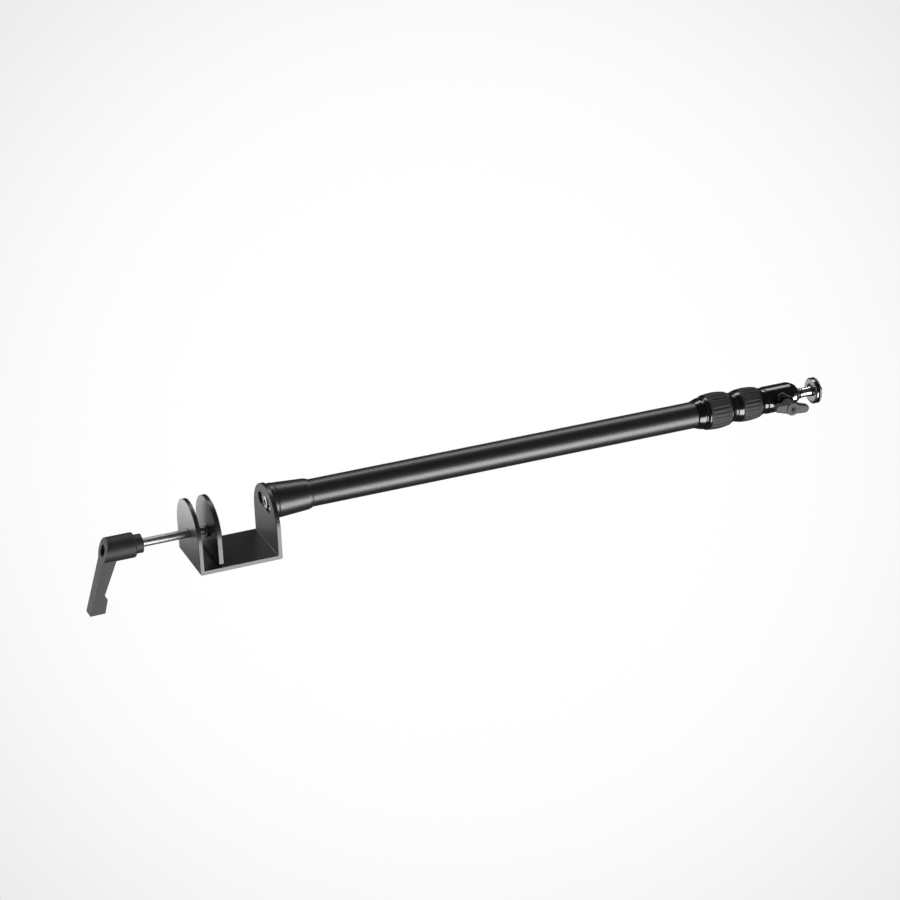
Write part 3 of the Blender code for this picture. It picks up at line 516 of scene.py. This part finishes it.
def bracket():
    low, high = span("bracket")
    radius = (high.y - low.y) / 2
    plate = high.z
    inner = high.x - plate
    past = low.x - plate
    channel = [
        (past, high.z),
        (past, 0),
        *arc(inner - BEND_INNER, -BEND_INNER, BEND_INNER, 90, 0, 4),
        *arc(inner - BEND_INNER, low.z + plate + BEND_INNER, BEND_INNER, 0, -90, 4),
        (past, low.z + plate),
        (past, low.z),
        *arc(high.x - BEND_OUTER, low.z + BEND_OUTER, BEND_OUTER, -90, 0, 6),
        *arc(high.x - BEND_OUTER, high.z - BEND_OUTER, BEND_OUTER, 0, 90, 6),
    ]
    body = stand_up(prism("bracket_plate", channel, -radius - plate, radius + plate, POWDER_COAT))
    blank = prism("blank", ear_outline(radius, high.x + plate), low.z - plate, high.z + plate)
    combine(body, blank, "INTERSECT")
    rod_low, rod_high = span("clamp_screw")
    drill(body, rod_high.y - rod_low.y + ROD_CLEARANCE, low.z - CUTTER, low.z + plate + CUTTER)
    head_low, head_high = span("base_bolt")
    pocket = oval(head_high.y - head_low.y + BOLT_CLEARANCE,
                  head_high.x - head_low.x + BOLT_CLEARANCE)
    combine(body, prism("pocket", pocket, -CUTTER, BASE_POCKET, at=POLE))
    round_edges(body, EAR_FOOT_BEVEL, angle=40)
    stand_in(body, "bracket", "base")


def ear_plate(name, node, look, bore, corners=36):
    """A flat piece of the ears' outline with a hole for the clamp screw."""
    low, high = span(node)
    plate = prism(name, ear_outline((high.y - low.y) / 2, high.x), low.z, high.z, look)
    return drill(plate, bore, low.z - CUTTER, high.z + CUTTER, corners)


def jaw():
    plate = ear_plate("jaw_face_plate", "jaw_plate", POWDER_COAT, JAW_BORE)
    face = span("jaw_plate")[1].z
    drill(plate, JAW_RECESS, face - JAW_RECESS_DEPTH, face + CUTTER, LARGE_HOLE_CORNERS)
    round_edges(plate, EAR_FOOT_BEVEL, angle=40)
    stand_in(plate, "jaw_plate", "jaw")
    pad = ear_plate("jaw_face_pad", "jaw_pad", PAD_RUBBER, PAD_BORE, LARGE_HOLE_CORNERS)
    round_edges(pad, PAD_BEVEL, angle=40)
    stand_in(pad, "jaw_pad", "jaw")
    low, high = span("thrust_washer")
    turned("thrust_washer_ring", ring(high.x - low.x, JAW_BORE, high.z, low.z), ZINC,
           "thrust_washer", "jaw", radius=0.2, around=AROUND_SMALL)


def clamp_nut():
    low, high = span("clamp_nut")
    size = high.x - low.x
    profile = [(size - 0.8, high.z), (size, high.z - 0.6), (size, low.z + 1.2),
               (size - 0.9, low.z + 0.9), (size - 0.9, low.z), (NUT_BORE, low.z),
               (NUT_BORE, high.z)]
    turned("nut_bush", profile, DULL_ZINC, "clamp_nut", "base", radius=0.2,
           around=AROUND_SMALL)


def clamp_screw():
    low, high = span("clamp_screw")
    size = high.y - low.y
    shoulder = span("thrust_washer")[0].z - 0.3
    top = shoulder - 1.0
    foot = low.z + ROD_CHAMFER
    rows = [(size, z) for z in steps(top, foot, ROD_PITCH / ROWS_IN_A_PITCH)]
    profile = [(0, high.z), (ROD_NECK - ROD_CHAMFER, high.z), (ROD_NECK, high.z - 0.3),
               (ROD_NECK, shoulder), (size - 1.0, shoulder), (size, shoulder - 0.5), *rows,
               (size - 1.0, low.z), (0, low.z)]
    turned("clamp_rod", profile, ZINC, "clamp_screw", "screw", radius=0, around=AROUND_THREAD,
           ripple=thread(ROD_PITCH, ROD_THREAD_DEPTH, foot, top))


# Lever

HUB_SLOPE = 0.317
HUB_CHAMFER = 1.2
LEVER_NECK = 17.3
LEVER_NECK_LENGTH = 7.0
LEVER_BORE = 13.6
LEVER_CHAMBER = 10.8
LEVER_LEDGE = -137.8
LEDGE_BORE = 6.2
LEDGE_THICKNESS = 2
LEVER_OUTER = -151.9
ARM_ROOT = 7.6
ARM_ROOT_WIDTH = 15.2
ARM_ROOT_DEPTH = 12.8
ARM_TIP_WIDTH = 13.0
ARM_TIP_DEPTH = 14.2
ARM_TIP_CORNER = 0.6
ARM_SHORT_OF_NODE = 0.05
ARM_PAST_SLOPE = 4
NOTCH_REACH = 40.3
NOTCH_DEPTH = 9.6
BUMP_REACH = 45.2
BUMP_DEPTH = 13.1
SLOPE_ROUNDING = 1.5
HANDLE_ROUNDING = 0.5
ON_SLOPE = 0.02
LEVER_SCREW_SHANK = 5
LEVER_SCREW_HEAD_HEIGHT = 3.5
LEVER_SCREW_SOCKET = 4.0
LEVER_SCREW_SOCKET_DEPTH = 2.0


def lever_plane(x):
    return LEVER_OUTER - HUB_SLOPE * x


def lever_arm():
    reach = span("lever")[1].x - ARM_SHORT_OF_NODE
    root, tip = lever_plane(ARM_ROOT), lever_plane(reach)
    outline = [(ARM_ROOT, root - ARM_PAST_SLOPE), (reach, tip - ARM_PAST_SLOPE),
               (reach, tip + ARM_TIP_DEPTH - ARM_TIP_CORNER),
               (reach - ARM_TIP_CORNER, tip + ARM_TIP_DEPTH),
               (BUMP_REACH, lever_plane(BUMP_REACH) + BUMP_DEPTH),
               (NOTCH_REACH + 1.2, lever_plane(NOTCH_REACH) + NOTCH_DEPTH - 0.2),
               (NOTCH_REACH - 0.6, lever_plane(NOTCH_REACH) + NOTCH_DEPTH),
               (ARM_ROOT, root + ARM_ROOT_DEPTH)]
    arm = stand_up(prism("arm", outline, -ARM_ROOT_WIDTH / 2, ARM_ROOT_WIDTH / 2))
    for vertex in arm.data.vertices:
        along = (vertex.co.x / MM - ARM_ROOT) / (reach - ARM_ROOT)
        vertex.co.y *= 1 + (ARM_TIP_WIDTH / ARM_ROOT_WIDTH - 1) * along
    return arm


def on_slope(point):
    """A place on the sloping outer face, but not on the recess in it."""
    clear = sqrt(point.x ** 2 + point.y ** 2) > LEVER_CHAMBER / 2 + 0.5
    return clear and abs(point.z - lever_plane(point.x)) < ON_SLOPE


def lever():
    low, high = span("lever")
    hub = high.y - low.y
    past = low.z - 2
    shoulder = high.z - LEVER_NECK_LENGTH
    ledge_top = LEVER_LEDGE + LEDGE_THICKNESS
    profile = [(LEVER_NECK, high.z), (LEVER_NECK, shoulder + 0.5),
               (hub - 2 * HUB_CHAMFER, shoulder), (hub, shoulder - HUB_CHAMFER), (hub, past),
               (LEVER_CHAMBER, past), (LEVER_CHAMBER, LEVER_LEDGE), (LEDGE_BORE, LEVER_LEDGE),
               (LEDGE_BORE, ledge_top), (LEVER_BORE, ledge_top), (LEVER_BORE, high.z)]
    handle = lathe("lever_handle", profile, NYLON, radius=0.7, around=AROUND_SMALL)
    combine(handle, lever_arm(), "UNION")
    wide = 3 * hub
    slope = [(-wide, lever_plane(-wide)), (wide, lever_plane(wide)),
             (wide, lever_plane(wide) - wide), (-wide, lever_plane(wide) - wide)]
    combine(handle, stand_up(prism("slope", slope, -hub, hub)))
    round_marked(handle, on_slope, SLOPE_ROUNDING)
    round_edges(handle, HANDLE_ROUNDING, angle=32)
    stand_in(handle, "lever", "lever")


def lever_screw():
    low, high = span("lever_screw")
    profile = headed_rod(LEVER_SCREW_SHANK, high.z, high.x - low.x,
                         low.z + LEVER_SCREW_HEAD_HEIGHT, low.z)
    screw = lathe("lever_cap_screw", profile, OXIDE, radius=0.5, around=AROUND_SMALL)
    combine(screw, prism("socket", hexagon(LEVER_SCREW_SOCKET), low.z - CUTTER,
                         low.z + LEVER_SCREW_SOCKET_DEPTH))
    round_edges(screw, 0.12, 2, angle=50)
    stand_in(screw, "lever_screw", "screw")


def lever_spring():
    """The coil between the screw's head and the ledge, copied from the node's mesh."""
    coil = new_object("lever_coil", frame["nodes"]["lever_spring"].data.copy(), ZINC)
    stand_in(coil, "lever_spring", "index")
    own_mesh(coil)


# Foot of the pole and tubes

BASE_HEAD = 11.8
BASE_HEAD_HEIGHT = 1.5
BASE_PLATE = 0.7
BASE_SHANK = 8.0
BASE_SOCKET = 5.0
BASE_SOCKET_DEPTH = 3.2
OUTER_BORE = 26.0  # bore of the pieces that fit round the outer tube
SLEEVE_BEAD = 4.2
TUBE_WALL = 1.2
TUBE_BODIES = {"outer_tube": "base", "middle_tube": "middle_section",
               "inner_tube": "inner_section"}


def base_bolt():
    low, high = span("base_bolt")
    seat = low.z + BASE_HEAD_HEIGHT + BASE_PLATE
    plate = prism("base_bolt_plate", oval(high.y - low.y, high.x - low.x),
                  low.z + BASE_HEAD_HEIGHT, seat, CHROME, at=POLE)
    screw = lathe("screw", headed_rod(BASE_SHANK, high.z, BASE_HEAD, seat - 0.2, low.z),
                  at=POLE, radius=0.5, around=AROUND_SMALL)
    combine(plate, screw, "UNION")
    combine(plate, prism("socket", hexagon(BASE_SOCKET), low.z - CUTTER,
                         low.z + BASE_SOCKET_DEPTH, at=POLE))
    round_edges(plate, 0.2, angle=40)
    stand_in(plate, "base_bolt", "base")


def base_sleeve():
    low, high = span("base_sleeve")
    foot = high.x - low.x
    bead = low.z + SLEEVE_BEAD
    profile = [(OUTER_BORE + 0.4, high.z), (27.7, high.z - 1.6), (28.9, high.z - 4.0),
               (32.6, bead + 1.5), (31.6, bead + 0.5), (foot, bead), (foot, low.z),
               (OUTER_BORE, low.z), (OUTER_BORE, high.z)]
    turned("base_cone", profile, POWDER_COAT, "base_sleeve", "base", at=POLE, radius=0.6)


def tubes():
    for node, body in TUBE_BODIES.items():
        low, high = span(node)
        size = high.x - low.x
        turned(node + "_wall", ring(size, size - 2 * TUBE_WALL, high.z, low.z), TUBE_COAT,
               node, body, at=POLE)


# Twist locks

RIBS = 24
RIB_DEPTH = 0.55
RIB_FADE = 2.0
RIB_MARGIN = 1.2
RIB_CORNERS = 12
GRIP_ROW = 0.8
GRIP_CHAMFER = 0.4
LOWER_GRIP = (34.0, 35.0, 35.4, 34.5, 32.6)
LOWER_GRIP_BORE = 31.0
UPPER_GRIP = (31.6, 32.3, 32.2, 31.4, 29.6)
UPPER_GRIP_BORE = 27.0
MIDDLE_BORE = 21.8
INNER_BORE = 17.8
GAP = 0.3


def ribbed(low, high, bore):
    """Grip ribs with rounded lands and grooves that run out before both ends."""
    def cut(angle, radius, height):
        fade = min(1.0, (height - low) / RIB_FADE, (high - height) / RIB_FADE)
        if fade <= 0 or radius <= bore / 2 + 0.1:
            return 0.0
        wave = 0.5 + 0.5 * cos(RIBS * angle)
        return -RIB_DEPTH * fade * wave ** 3
    return cut


def grip(node, body, diameters, bore):
    low, high = span(node)
    last = len(diameters) - 1
    rows = []
    for z in steps(high.z - GRIP_CHAMFER, low.z + GRIP_CHAMFER, GRIP_ROW):
        place = (z - low.z) / (high.z - low.z) * last
        i = min(int(place), last - 1)
        rows.append((smooth_between(diameters, i, place - i), z))
    profile = [(diameters[-1] - 2 * GRIP_CHAMFER, high.z), *rows,
               (diameters[0] - 2 * GRIP_CHAMFER, low.z), (bore, low.z), (bore, high.z)]
    turned(node + "_sleeve", profile, GRIP_RUBBER, node, body, at=POLE, radius=0,
           around=RIBS * RIB_CORNERS, ripple=ribbed(low.z + RIB_MARGIN, high.z - RIB_MARGIN, bore))


def gloss_ring(name, profile, node, body):
    turned(name, profile, GLOSS_BLACK, node, body, at=POLE, radius=0.4)


def lower_lock():
    low, high = span("lower_ferrule")
    grip_low, grip_high = span("lower_grip")
    tube_top = span("outer_tube")[1].z
    rim = tube_top + 3.7
    profile = [(26.8, high.z), (26.8, rim), (28.8, rim), (28.8, rim - 1.2), (30.6, rim - 1.5),
               (28.9, tube_top - 0.6), (27.2, low.z + 0.8), (26.5, low.z), (OUTER_BORE, low.z),
               (OUTER_BORE, tube_top + GAP), (MIDDLE_BORE, tube_top + GAP),
               (MIDDLE_BORE, high.z)]
    gloss_ring("lower_ferrule_ring", profile, "lower_ferrule", "base")
    low, high = span("lower_collar")
    profile = [(MIDDLE_BORE, high.z), (28.8, high.z), (31.4, grip_high.z + GAP),
               (30.4, grip_high.z + GAP), (30.4, grip_low.z - GAP), (33.8, grip_low.z - GAP),
               (33.6, grip_low.z - 1.2), (31.9, low.z + 1.1), (29.6, low.z + 0.9),
               (29.6, low.z), (27.4, low.z), (27.4, high.z - 14), (22.8, high.z - 5),
               (MIDDLE_BORE, high.z - 5)]
    gloss_ring("lower_collar_ring", profile, "lower_collar", "lower_collar")
    grip("lower_grip", "lower_collar", LOWER_GRIP, LOWER_GRIP_BORE)


def upper_lock():
    low, high = span("upper_ferrule")
    grip_low, grip_high = span("upper_grip")
    tube_top = span("middle_tube")[1].z
    rim = grip_low.z - GAP
    profile = [(22.8, high.z), (22.8, rim), (31.2, rim), (31.2, rim - 0.8),
               (29.0, low.z + 3.4), (27.4, low.z + 3.2), (26.8, low.z + 1.8),
               (28.0, low.z + 0.3), (27.6, low.z), (21.6, low.z), (21.6, tube_top + GAP),
               (INNER_BORE, tube_top + GAP), (INNER_BORE, high.z)]
    gloss_ring("upper_ferrule_ring", profile, "upper_ferrule", "middle_section")
    low, high = span("upper_collar")
    profile = [(INNER_BORE, high.z), (26.0, high.z), (29.0, grip_high.z + GAP),
               (26.4, grip_high.z + GAP), (26.4, low.z), (23.4, low.z), (23.4, high.z - 13),
               (18.8, high.z - 4), (INNER_BORE, high.z - 4)]
    gloss_ring("upper_collar_ring", profile, "upper_collar", "upper_collar")
    grip("upper_grip", "upper_collar", UPPER_GRIP, UPPER_GRIP_BORE)


# Ball head

FITTING_FLANGE = 25.6
FITTING_FLANGE_HEIGHT = 3.7
FITTING_STEM = 14.0
HEAD_STUD_BORE = 10.2
HEAD_STUD_DEPTH = 8.7
CHAMBER_DEPTH = 22.5
SOCKET_CLEARANCE = 0.3
BOSS = 18.0
BOSS_REACH = 18.0
NOTCH = 5.6
NOTCH_BELOW_BALL = 7.6
NOTCH_OPEN = 16
KNOB_BORE = 6.6
CAMERA_STUD_BORE = 6.95
CAMERA_STUD_DEPTH = 6.9
PLATFORM_NECK = 18.0
PLATFORM_PAD_BORE = 7.5
STUD_PITCH = 1.27
STUD_THREAD_DEPTH = 0.5
KNURL = 60
KNURL_DEPTH = 0.22
KNURL_CORNERS = 6


def top_fitting():
    low, high = span("top_fitting")
    flange = high.z - FITTING_FLANGE_HEIGHT
    profile = [(FITTING_FLANGE, high.z), (FITTING_FLANGE, flange), (FITTING_STEM, flange),
               (FITTING_STEM, low.z), (HEAD_STUD_BORE, low.z), (HEAD_STUD_BORE, high.z)]
    gloss_ring("top_fitting_ring", profile, "top_fitting", "inner_section")


def head():
    low, high = span("head_housing")
    ball_low, ball_high = span("ball")
    size = high.x - low.x
    socket = (ball_high.x - ball_low.x) / 2 + SOCKET_CLEARANCE
    lip = [(d, BALL_Z + h) for d, h in sphere_rows(socket, 0, high.z - BALL_Z, 6)]
    profile = [
        (0, high.z - CHAMBER_DEPTH), (2 * socket, high.z - CHAMBER_DEPTH), *lip,
        (19.4, high.z), (21.0, high.z - 0.8), (23.0, high.z - 2.9), (25.8, high.z - 5.9),
        (size, high.z - 7.5), (size, low.z + 1.0), (size - 1, low.z), (HEAD_STUD_BORE, low.z),
        (HEAD_STUD_BORE, low.z + HEAD_STUD_DEPTH), (0, low.z + HEAD_STUD_DEPTH),
    ]
    housing = lathe("head_shell", profile, GLOSS_BLACK, at=POLE, radius=0.5)
    # The corners of what is joined or cut here are kept off the shell's own
    boss = lathe("boss", rod(BOSS, BOSS_REACH, socket + 0.5), radius=0, around=97)
    combine(housing, knob_frame(boss), "UNION")
    bore = prism("bore", arc(0, 0, KNOB_BORE / 2, 2, 350, 35), socket / 2, BOSS_REACH + 2)
    combine(housing, knob_frame(bore))
    rise = BALL_Z - NOTCH_BELOW_BALL + NOTCH - KNOB_Z
    outline = [(NOTCH, NOTCH_OPEN + rise), (-NOTCH, NOTCH_OPEN + rise),
               *[(x, y + rise) for x, y in arc(0, 0, NOTCH, 180, 360, 27)]]
    combine(housing, knob_frame(prism("notch", outline, socket / 2, size)))
    round_edges(housing, 0.35, angle=40)
    stand_in(housing, "head_housing", "inner_section")


def knob_frame(obj):
    """Place a piece drawn about Z on the knob's axis, which points to the near side."""
    obj.matrix_world = (Matrix.Translation(Vector((POLE_X, 0, KNOB_Z)) * MM)
                        @ Matrix.Rotation(radians(90), 4, "X"))
    return obj


def ball_and_stem():
    low, high = span("ball")
    top = high.z - BALL_Z
    rows = sphere_rows((high.x - low.x) / 2, top, -(high.x - low.x) / 2, 40)
    turned("ball_sphere", [(0, top), *rows], CHROME, "ball", "ball", at=(POLE_X, 0, BALL_Z),
           radius=0)
    low, high = span("ball_stem")
    size = high.x - low.x
    waist = size - 0.9
    profile = [(0, high.z - CAMERA_STUD_DEPTH), (CAMERA_STUD_BORE, high.z - CAMERA_STUD_DEPTH),
               (CAMERA_STUD_BORE, high.z), (size, high.z), (size, high.z - 1.2),
               (waist, high.z - 3.0), (waist, low.z + 2.4), (size, low.z + 0.8), (size, low.z),
               (0, low.z)]
    turned("stem_shaft", profile, CHROME, "ball_stem", "stem", at=POLE, around=AROUND_SMALL)


def knurl(outer):
    """A ripple of fine grooves on the rim only."""
    def cut(angle, radius, height):
        if radius < outer / 2 - 0.15:
            return 0.0
        return -KNURL_DEPTH * (0.5 + 0.5 * cos(KNURL * angle))
    return cut


def platform():
    low, high = span("platform")
    size = high.x - low.x
    neck = high.z - 0.8
    profile = [(PLATFORM_NECK, high.z), (PLATFORM_NECK, neck), (size - 1, neck),
               (size, neck - 0.6), (size, low.z + 0.8), (size - 2.0, low.z),
               (CAMERA_STUD_BORE, low.z), (CAMERA_STUD_BORE, high.z)]
    turned("platform_plate", profile, NICKEL, "platform", "stem", at=POLE, radius=0.35)
    low, high = span("lock_disc")
    profile = [(size - 0.8, high.z), (size, high.z - 0.5), (size, low.z + 0.5),
               (size - 0.8, low.z), (CAMERA_STUD_BORE, low.z), (CAMERA_STUD_BORE, high.z)]
    turned("lock_disc_ring", profile, NICKEL, "lock_disc", "lock_disc", at=POLE, radius=0.2,
           around=KNURL * KNURL_CORNERS, ripple=knurl(size))
    low, high = span("platform_pad")
    turned("platform_pad_disc", ring(high.x - low.x, PLATFORM_PAD_BORE, high.z, low.z),
           PAD_RUBBER, "platform_pad", "lock_disc", at=POLE, radius=0.15)


def camera_stud():
    low, high = span("camera_stud")
    size = high.x - low.x
    tip = size - 1.2
    rows = [(size, z) for z in steps(high.z - 0.5, low.z + 0.5, STUD_PITCH / ROWS_IN_A_PITCH)]
    profile = [(0, high.z), (tip, high.z), *rows, (tip, low.z), (0, low.z)]
    turned("camera_stud_thread", profile, ZINC, "camera_stud", "stem", at=POLE, radius=0,
           around=AROUND_THREAD,
           ripple=thread(STUD_PITCH, STUD_THREAD_DEPTH, low.z + 0.5, high.z - 0.3))


# Wing knob

WING_SPAN = 37.0
WING_TIP = 4.25
WING_ROOT = 5.8
WING_LEAN = 10.6
WING_ROUNDING = 1.8
# Depths below the hub's front: the blades' two faces, the screw's recess, the stud's bore
WING_FRONT = 0.8
WING_BACK = 6.8
RECESS_FLOOR = 2
BORE_START = 4.3
HUB = 13.0
HUB_FACE = 12.4
PILOT = 3.6
PILOT_DEPTH = 6
KNOB_SCREW_HEAD = 6.0
KNOB_SCREW_HEAD_HEIGHT = 1.4
KNOB_SCREW_SHANK = 3.0
CROSS_SLOT = ((-1.7, -0.35), (1.7, -0.35), (1.7, 0.35), (-1.7, 0.35))
CROSS_DEPTH = 0.9
CROSS_TURN = 20


def wing_knob():
    low, high = span("wing_knob")
    front = -low.y
    foot = -high.y
    reach = WING_SPAN / 2 - WING_TIP
    outline = [*arc(0, reach, WING_TIP, 0, 180, 16), (-WING_ROOT, 0),
               *arc(0, -reach, WING_TIP, 180, 360, 16), (WING_ROOT, 0)]
    knob = prism("wing_knob_blades", outline, front - WING_BACK, front - WING_FRONT, KNOB_NYLON)
    round_edges(knob, WING_ROUNDING, 5, angle=60)
    hub = [(0, front), (HUB_FACE, front), (HUB, front - 0.6), (HUB, foot), (0, foot)]
    combine(knob, lathe("hub", hub, KNOB_NYLON, radius=0.8, around=95), "UNION")
    for profile, around in ((rod(KNOB_BORE, front - BORE_START, foot - 1), 63),
                            (rod(KNOB_BORE, front + 1, front - RECESS_FLOOR), 63),
                            (rod(PILOT, front, front - PILOT_DEPTH), 41)):
        combine(knob, lathe("bore", profile, radius=0, around=around))
    round_edges(knob, 0.25, 2, angle=40)
    knob.data.transform(Matrix.Rotation(radians(-WING_LEAN), 4, "Z"))
    stand_in(knob_frame(knob), "wing_knob", "knob")


def knob_screw():
    low, high = span("knob_screw")
    top, foot = -low.y, -high.y
    under = top - KNOB_SCREW_HEAD_HEIGHT
    profile = [(0, top), (KNOB_SCREW_HEAD, top), (KNOB_SCREW_HEAD, under),
               (KNOB_SCREW_SHANK, under), (KNOB_SCREW_SHANK, foot), (0, foot)]
    screw = lathe("knob_cap_screw", profile, OXIDE, radius=0.35, around=64)
    for turn in (0, 90):
        bar = prism("slot", CROSS_SLOT, top - CROSS_DEPTH, top + 2)
        bar.rotation_euler = (0, 0, radians(turn + CROSS_TURN))
        combine(screw, bar)
    stand_in(knob_frame(screw), "knob_screw", "knob")


# CAD nodes that keep their shape

KEPT_NODES = {
    "base_plug": ZINC, "lower_collet": ACETAL, "upper_collet": ACETAL, "jaw_clip": OXIDE,
    "lever_insert": OXIDE, "middle_bush": ACETAL, "inner_bush": ACETAL,
    "head_stud": ZINC, "ball_seat": ACETAL, "knob_stud": ZINC,
}


def finish_kept_nodes():
    for node, look in KEPT_NODES.items():
        for material_slot in frame["nodes"][node].material_slots:
            material_slot.material = look


# Stage, light and camera, in metres

FLOOR_Z = -0.75
FLOOR_SIZE = 60.0
FLOOR_DARK = (0.40, 0.40, 0.40)
FLOOR_LIGHT = (0.44, 0.44, 0.44)
FLOOR_ROUGHNESS = 0.9
FLOOR_GRAIN = 400.0
FLOOR_BRIGHT = 0.66
# Gloss sees the floor's own brightness by this share up to the first distance, and not at all
# from the second on
FLOOR_GLOSS_SHARE = 0.4
FLOOR_GLOSS_NEAR = 0.4
FLOOR_GLOSS_FAR = 0.9

# The backdrop's brightness, and the angles in degrees from the middle of the photograph's view
# between which it falls off, for the camera and for gloss
BACKDROP_BRIGHT = 1.0
BACKDROP_EDGE = 0.80
BACKDROP_FALL = (4, 15)
GLOSS_FALL = (6, 19)
WORLD_LIGHT = 0.05

# What the lamps are turned to
MIDDLE = (-0.01, 0.0, 0.25)
SLOT = (-0.015, 0.0, 0.0)
LEVER_END = (0.02, 0.0, -0.16)
HEAD = (-0.015, 0.0, 0.55)
PANEL_LEVEL = -0.137


def floor():
    """Paper that takes the shadow. The camera sees it pale, and so does gloss close by."""
    shape = bmesh.new()
    bmesh.ops.create_grid(shape, x_segments=1, y_segments=1, size=FLOOR_SIZE / 2)
    look, nodes, links, shader = new_look("floor_paper")
    shader.inputs["Roughness"].default_value = FLOOR_ROUGHNESS
    noise = add_node(nodes, "ShaderNodeTexNoise", {"Scale": FLOOR_GRAIN})
    links.new(tone_of(nodes, links, noise.outputs["Fac"], FLOOR_DARK, FLOOR_LIGHT),
              shader.inputs["Base Color"])
    place = nodes.new("ShaderNodeTexCoord")
    away = nodes.new("ShaderNodeVectorMath")
    away.operation = "LENGTH"
    links.new(place.outputs["Object"], away.inputs[0])
    near = map_smoothly(nodes, links, away.outputs["Value"], {
        "From Min": FLOOR_GLOSS_FAR, "From Max": FLOOR_GLOSS_NEAR, "To Max": FLOOR_GLOSS_SHARE})
    bright = add_node(nodes, "ShaderNodeMath", {1: FLOOR_BRIGHT})
    bright.operation = "MULTIPLY"
    links.new(pale_rays(nodes, links, near), bright.inputs[0])
    shader.inputs["Emission Color"].default_value = WHITE
    links.new(bright.outputs["Value"], shader.inputs["Emission Strength"])
    sheet = new_object("floor", mesh_from("floor", shape), look, smooth=False)
    sheet.location = (0.0, 0.0, FLOOR_Z)


def world():
    """Pale for the camera, brightest in the middle of the photograph's view, and a dim studio
    as a light. Metal and gloss show the pale backdrop that lies behind the object."""
    studio = bpy.data.worlds.new("studio")
    bpy.context.scene.world = studio
    studio.use_nodes = True
    nodes, links = studio.node_tree.nodes, studio.node_tree.links
    nodes.clear()
    place = nodes.new("ShaderNodeTexCoord")
    toward = add_node(nodes, "ShaderNodeVectorMath", {1: -CAMERA_BACK})
    toward.operation = "DOT_PRODUCT"
    links.new(place.outputs["Generated"], toward.inputs[0])

    def falloff(fall, low, high):
        inner, outer = (cos(radians(angle)) for angle in fall)
        return map_smoothly(nodes, links, toward.outputs["Value"], {
            "From Min": outer, "From Max": inner, "To Min": low, "To Max": high})

    seen = add_node(nodes, "ShaderNodeBackground", {"Color": WHITE})
    links.new(falloff(BACKDROP_FALL, BACKDROP_EDGE, BACKDROP_BRIGHT), seen.inputs["Strength"])
    lit = add_node(nodes, "ShaderNodeBackground", {"Color": WHITE, "Strength": WORLD_LIGHT})
    mix = nodes.new("ShaderNodeMixShader")
    links.new(pale_rays(nodes, links, falloff(GLOSS_FALL, 0.0, 1.0)), mix.inputs["Fac"])
    links.new(lit.outputs["Background"], mix.inputs[1])
    links.new(seen.outputs["Background"], mix.inputs[2])
    out = nodes.new("ShaderNodeOutputWorld")
    links.new(mix.outputs["Shader"], out.inputs["Surface"])


def area_lamp(name, length, width, radiance, place):
    """A rectangular soft light, which cameras don't see."""
    lamp = bpy.data.lights.new(name, "AREA")
    lamp.shape = "RECTANGLE"
    lamp.size = length
    lamp.size_y = width
    lamp.energy = radiance * pi * length * width
    obj = bpy.data.objects.new(name, lamp)
    obj.matrix_world = place
    obj.visible_camera = False
    bpy.context.scene.collection.objects.link(obj)


def softbox(name, target, direction, distance, length, width, radiance, slide=0.0):
    """A soft light, its long side along the pole. Its direction is seen from the photograph's
    camera (right, up, towards it); slide moves it across."""
    side, rise, near = direction
    toward = CAMERA_RIGHT * side + CAMERA_UP * rise + CAMERA_BACK * near
    toward.normalize()
    along = Vector((0, 0, 1)) - toward * toward.z
    along.normalize()
    across = toward.cross(along)
    turn = Matrix((along, across, toward)).transposed()
    place = Vector(target) + toward * distance + across * slide
    area_lamp(name, length, width, radiance, Matrix.Translation(place) @ turn.to_4x4())


def panel(name, low, high, radiance):
    """A soft light lying flat under the clamp and facing up, between two corners."""
    middle = Vector(((low[0] + high[0]) / 2, (low[1] + high[1]) / 2, PANEL_LEVEL))
    area_lamp(name, high[0] - low[0], high[1] - low[1], radiance,
              Matrix.Translation(middle) @ Matrix.Rotation(pi, 4, "X"))


def lights():
    softbox("front", MIDDLE, (0.65, -0.62, 0.43), 1.6, 1.5, 1.05, 7.8)
    softbox("top", MIDDLE, (0.13, 0.98, -0.12), 1.5, 1.3, 0.5, 3.9)
    panel("ear_panel", (-0.06, 0.05), (0.044, 0.155), 3.2)
    panel("jaw_panel", (-0.03, 0.157), (0.084, 0.25), 3.0)
    softbox("slot", SLOT, (-0.63, -0.13, -0.77), 0.3, 0.04, 0.04, 1.2)
    softbox("lever", LEVER_END, (-0.72, 0.02, -0.70), 0.4, 0.15, 0.15, 2.6)
    softbox("back", MIDDLE, (-0.741, 0.667, -0.085), 1.3, 0.5, 0.7, 4.0)
    softbox("head_left", HEAD, (-0.63, -0.13, -0.77), 0.5, 0.25, 0.2, 1.5, slide=-0.08)


def camera():
    data = bpy.data.cameras.new("photo_camera")
    data.lens = CAMERA_LENS
    data.sensor_width = CAMERA_SENSOR
    data.clip_start = 0.05
    data.clip_end = 60.0
    obj = bpy.data.objects.new("photo_camera", data)
    turn = Matrix((CAMERA_RIGHT, CAMERA_UP, CAMERA_BACK)).transposed()
    obj.matrix_world = Matrix.Translation(CAMERA_EYE) @ turn.to_4x4()
    bpy.context.scene.collection.objects.link(obj)
    bpy.context.scene.camera = obj


bracket()
jaw()
clamp_nut()
clamp_screw()
lever()
lever_screw()
lever_spring()
base_bolt()
base_sleeve()
tubes()
lower_lock()
upper_lock()
top_fitting()
head()
ball_and_stem()
platform()
camera_stud()
wing_knob()
knob_screw()
finish_kept_nodes()
floor()
world()
lights()
camera()
bpy.context.scene.view_settings.view_transform = "Standard"
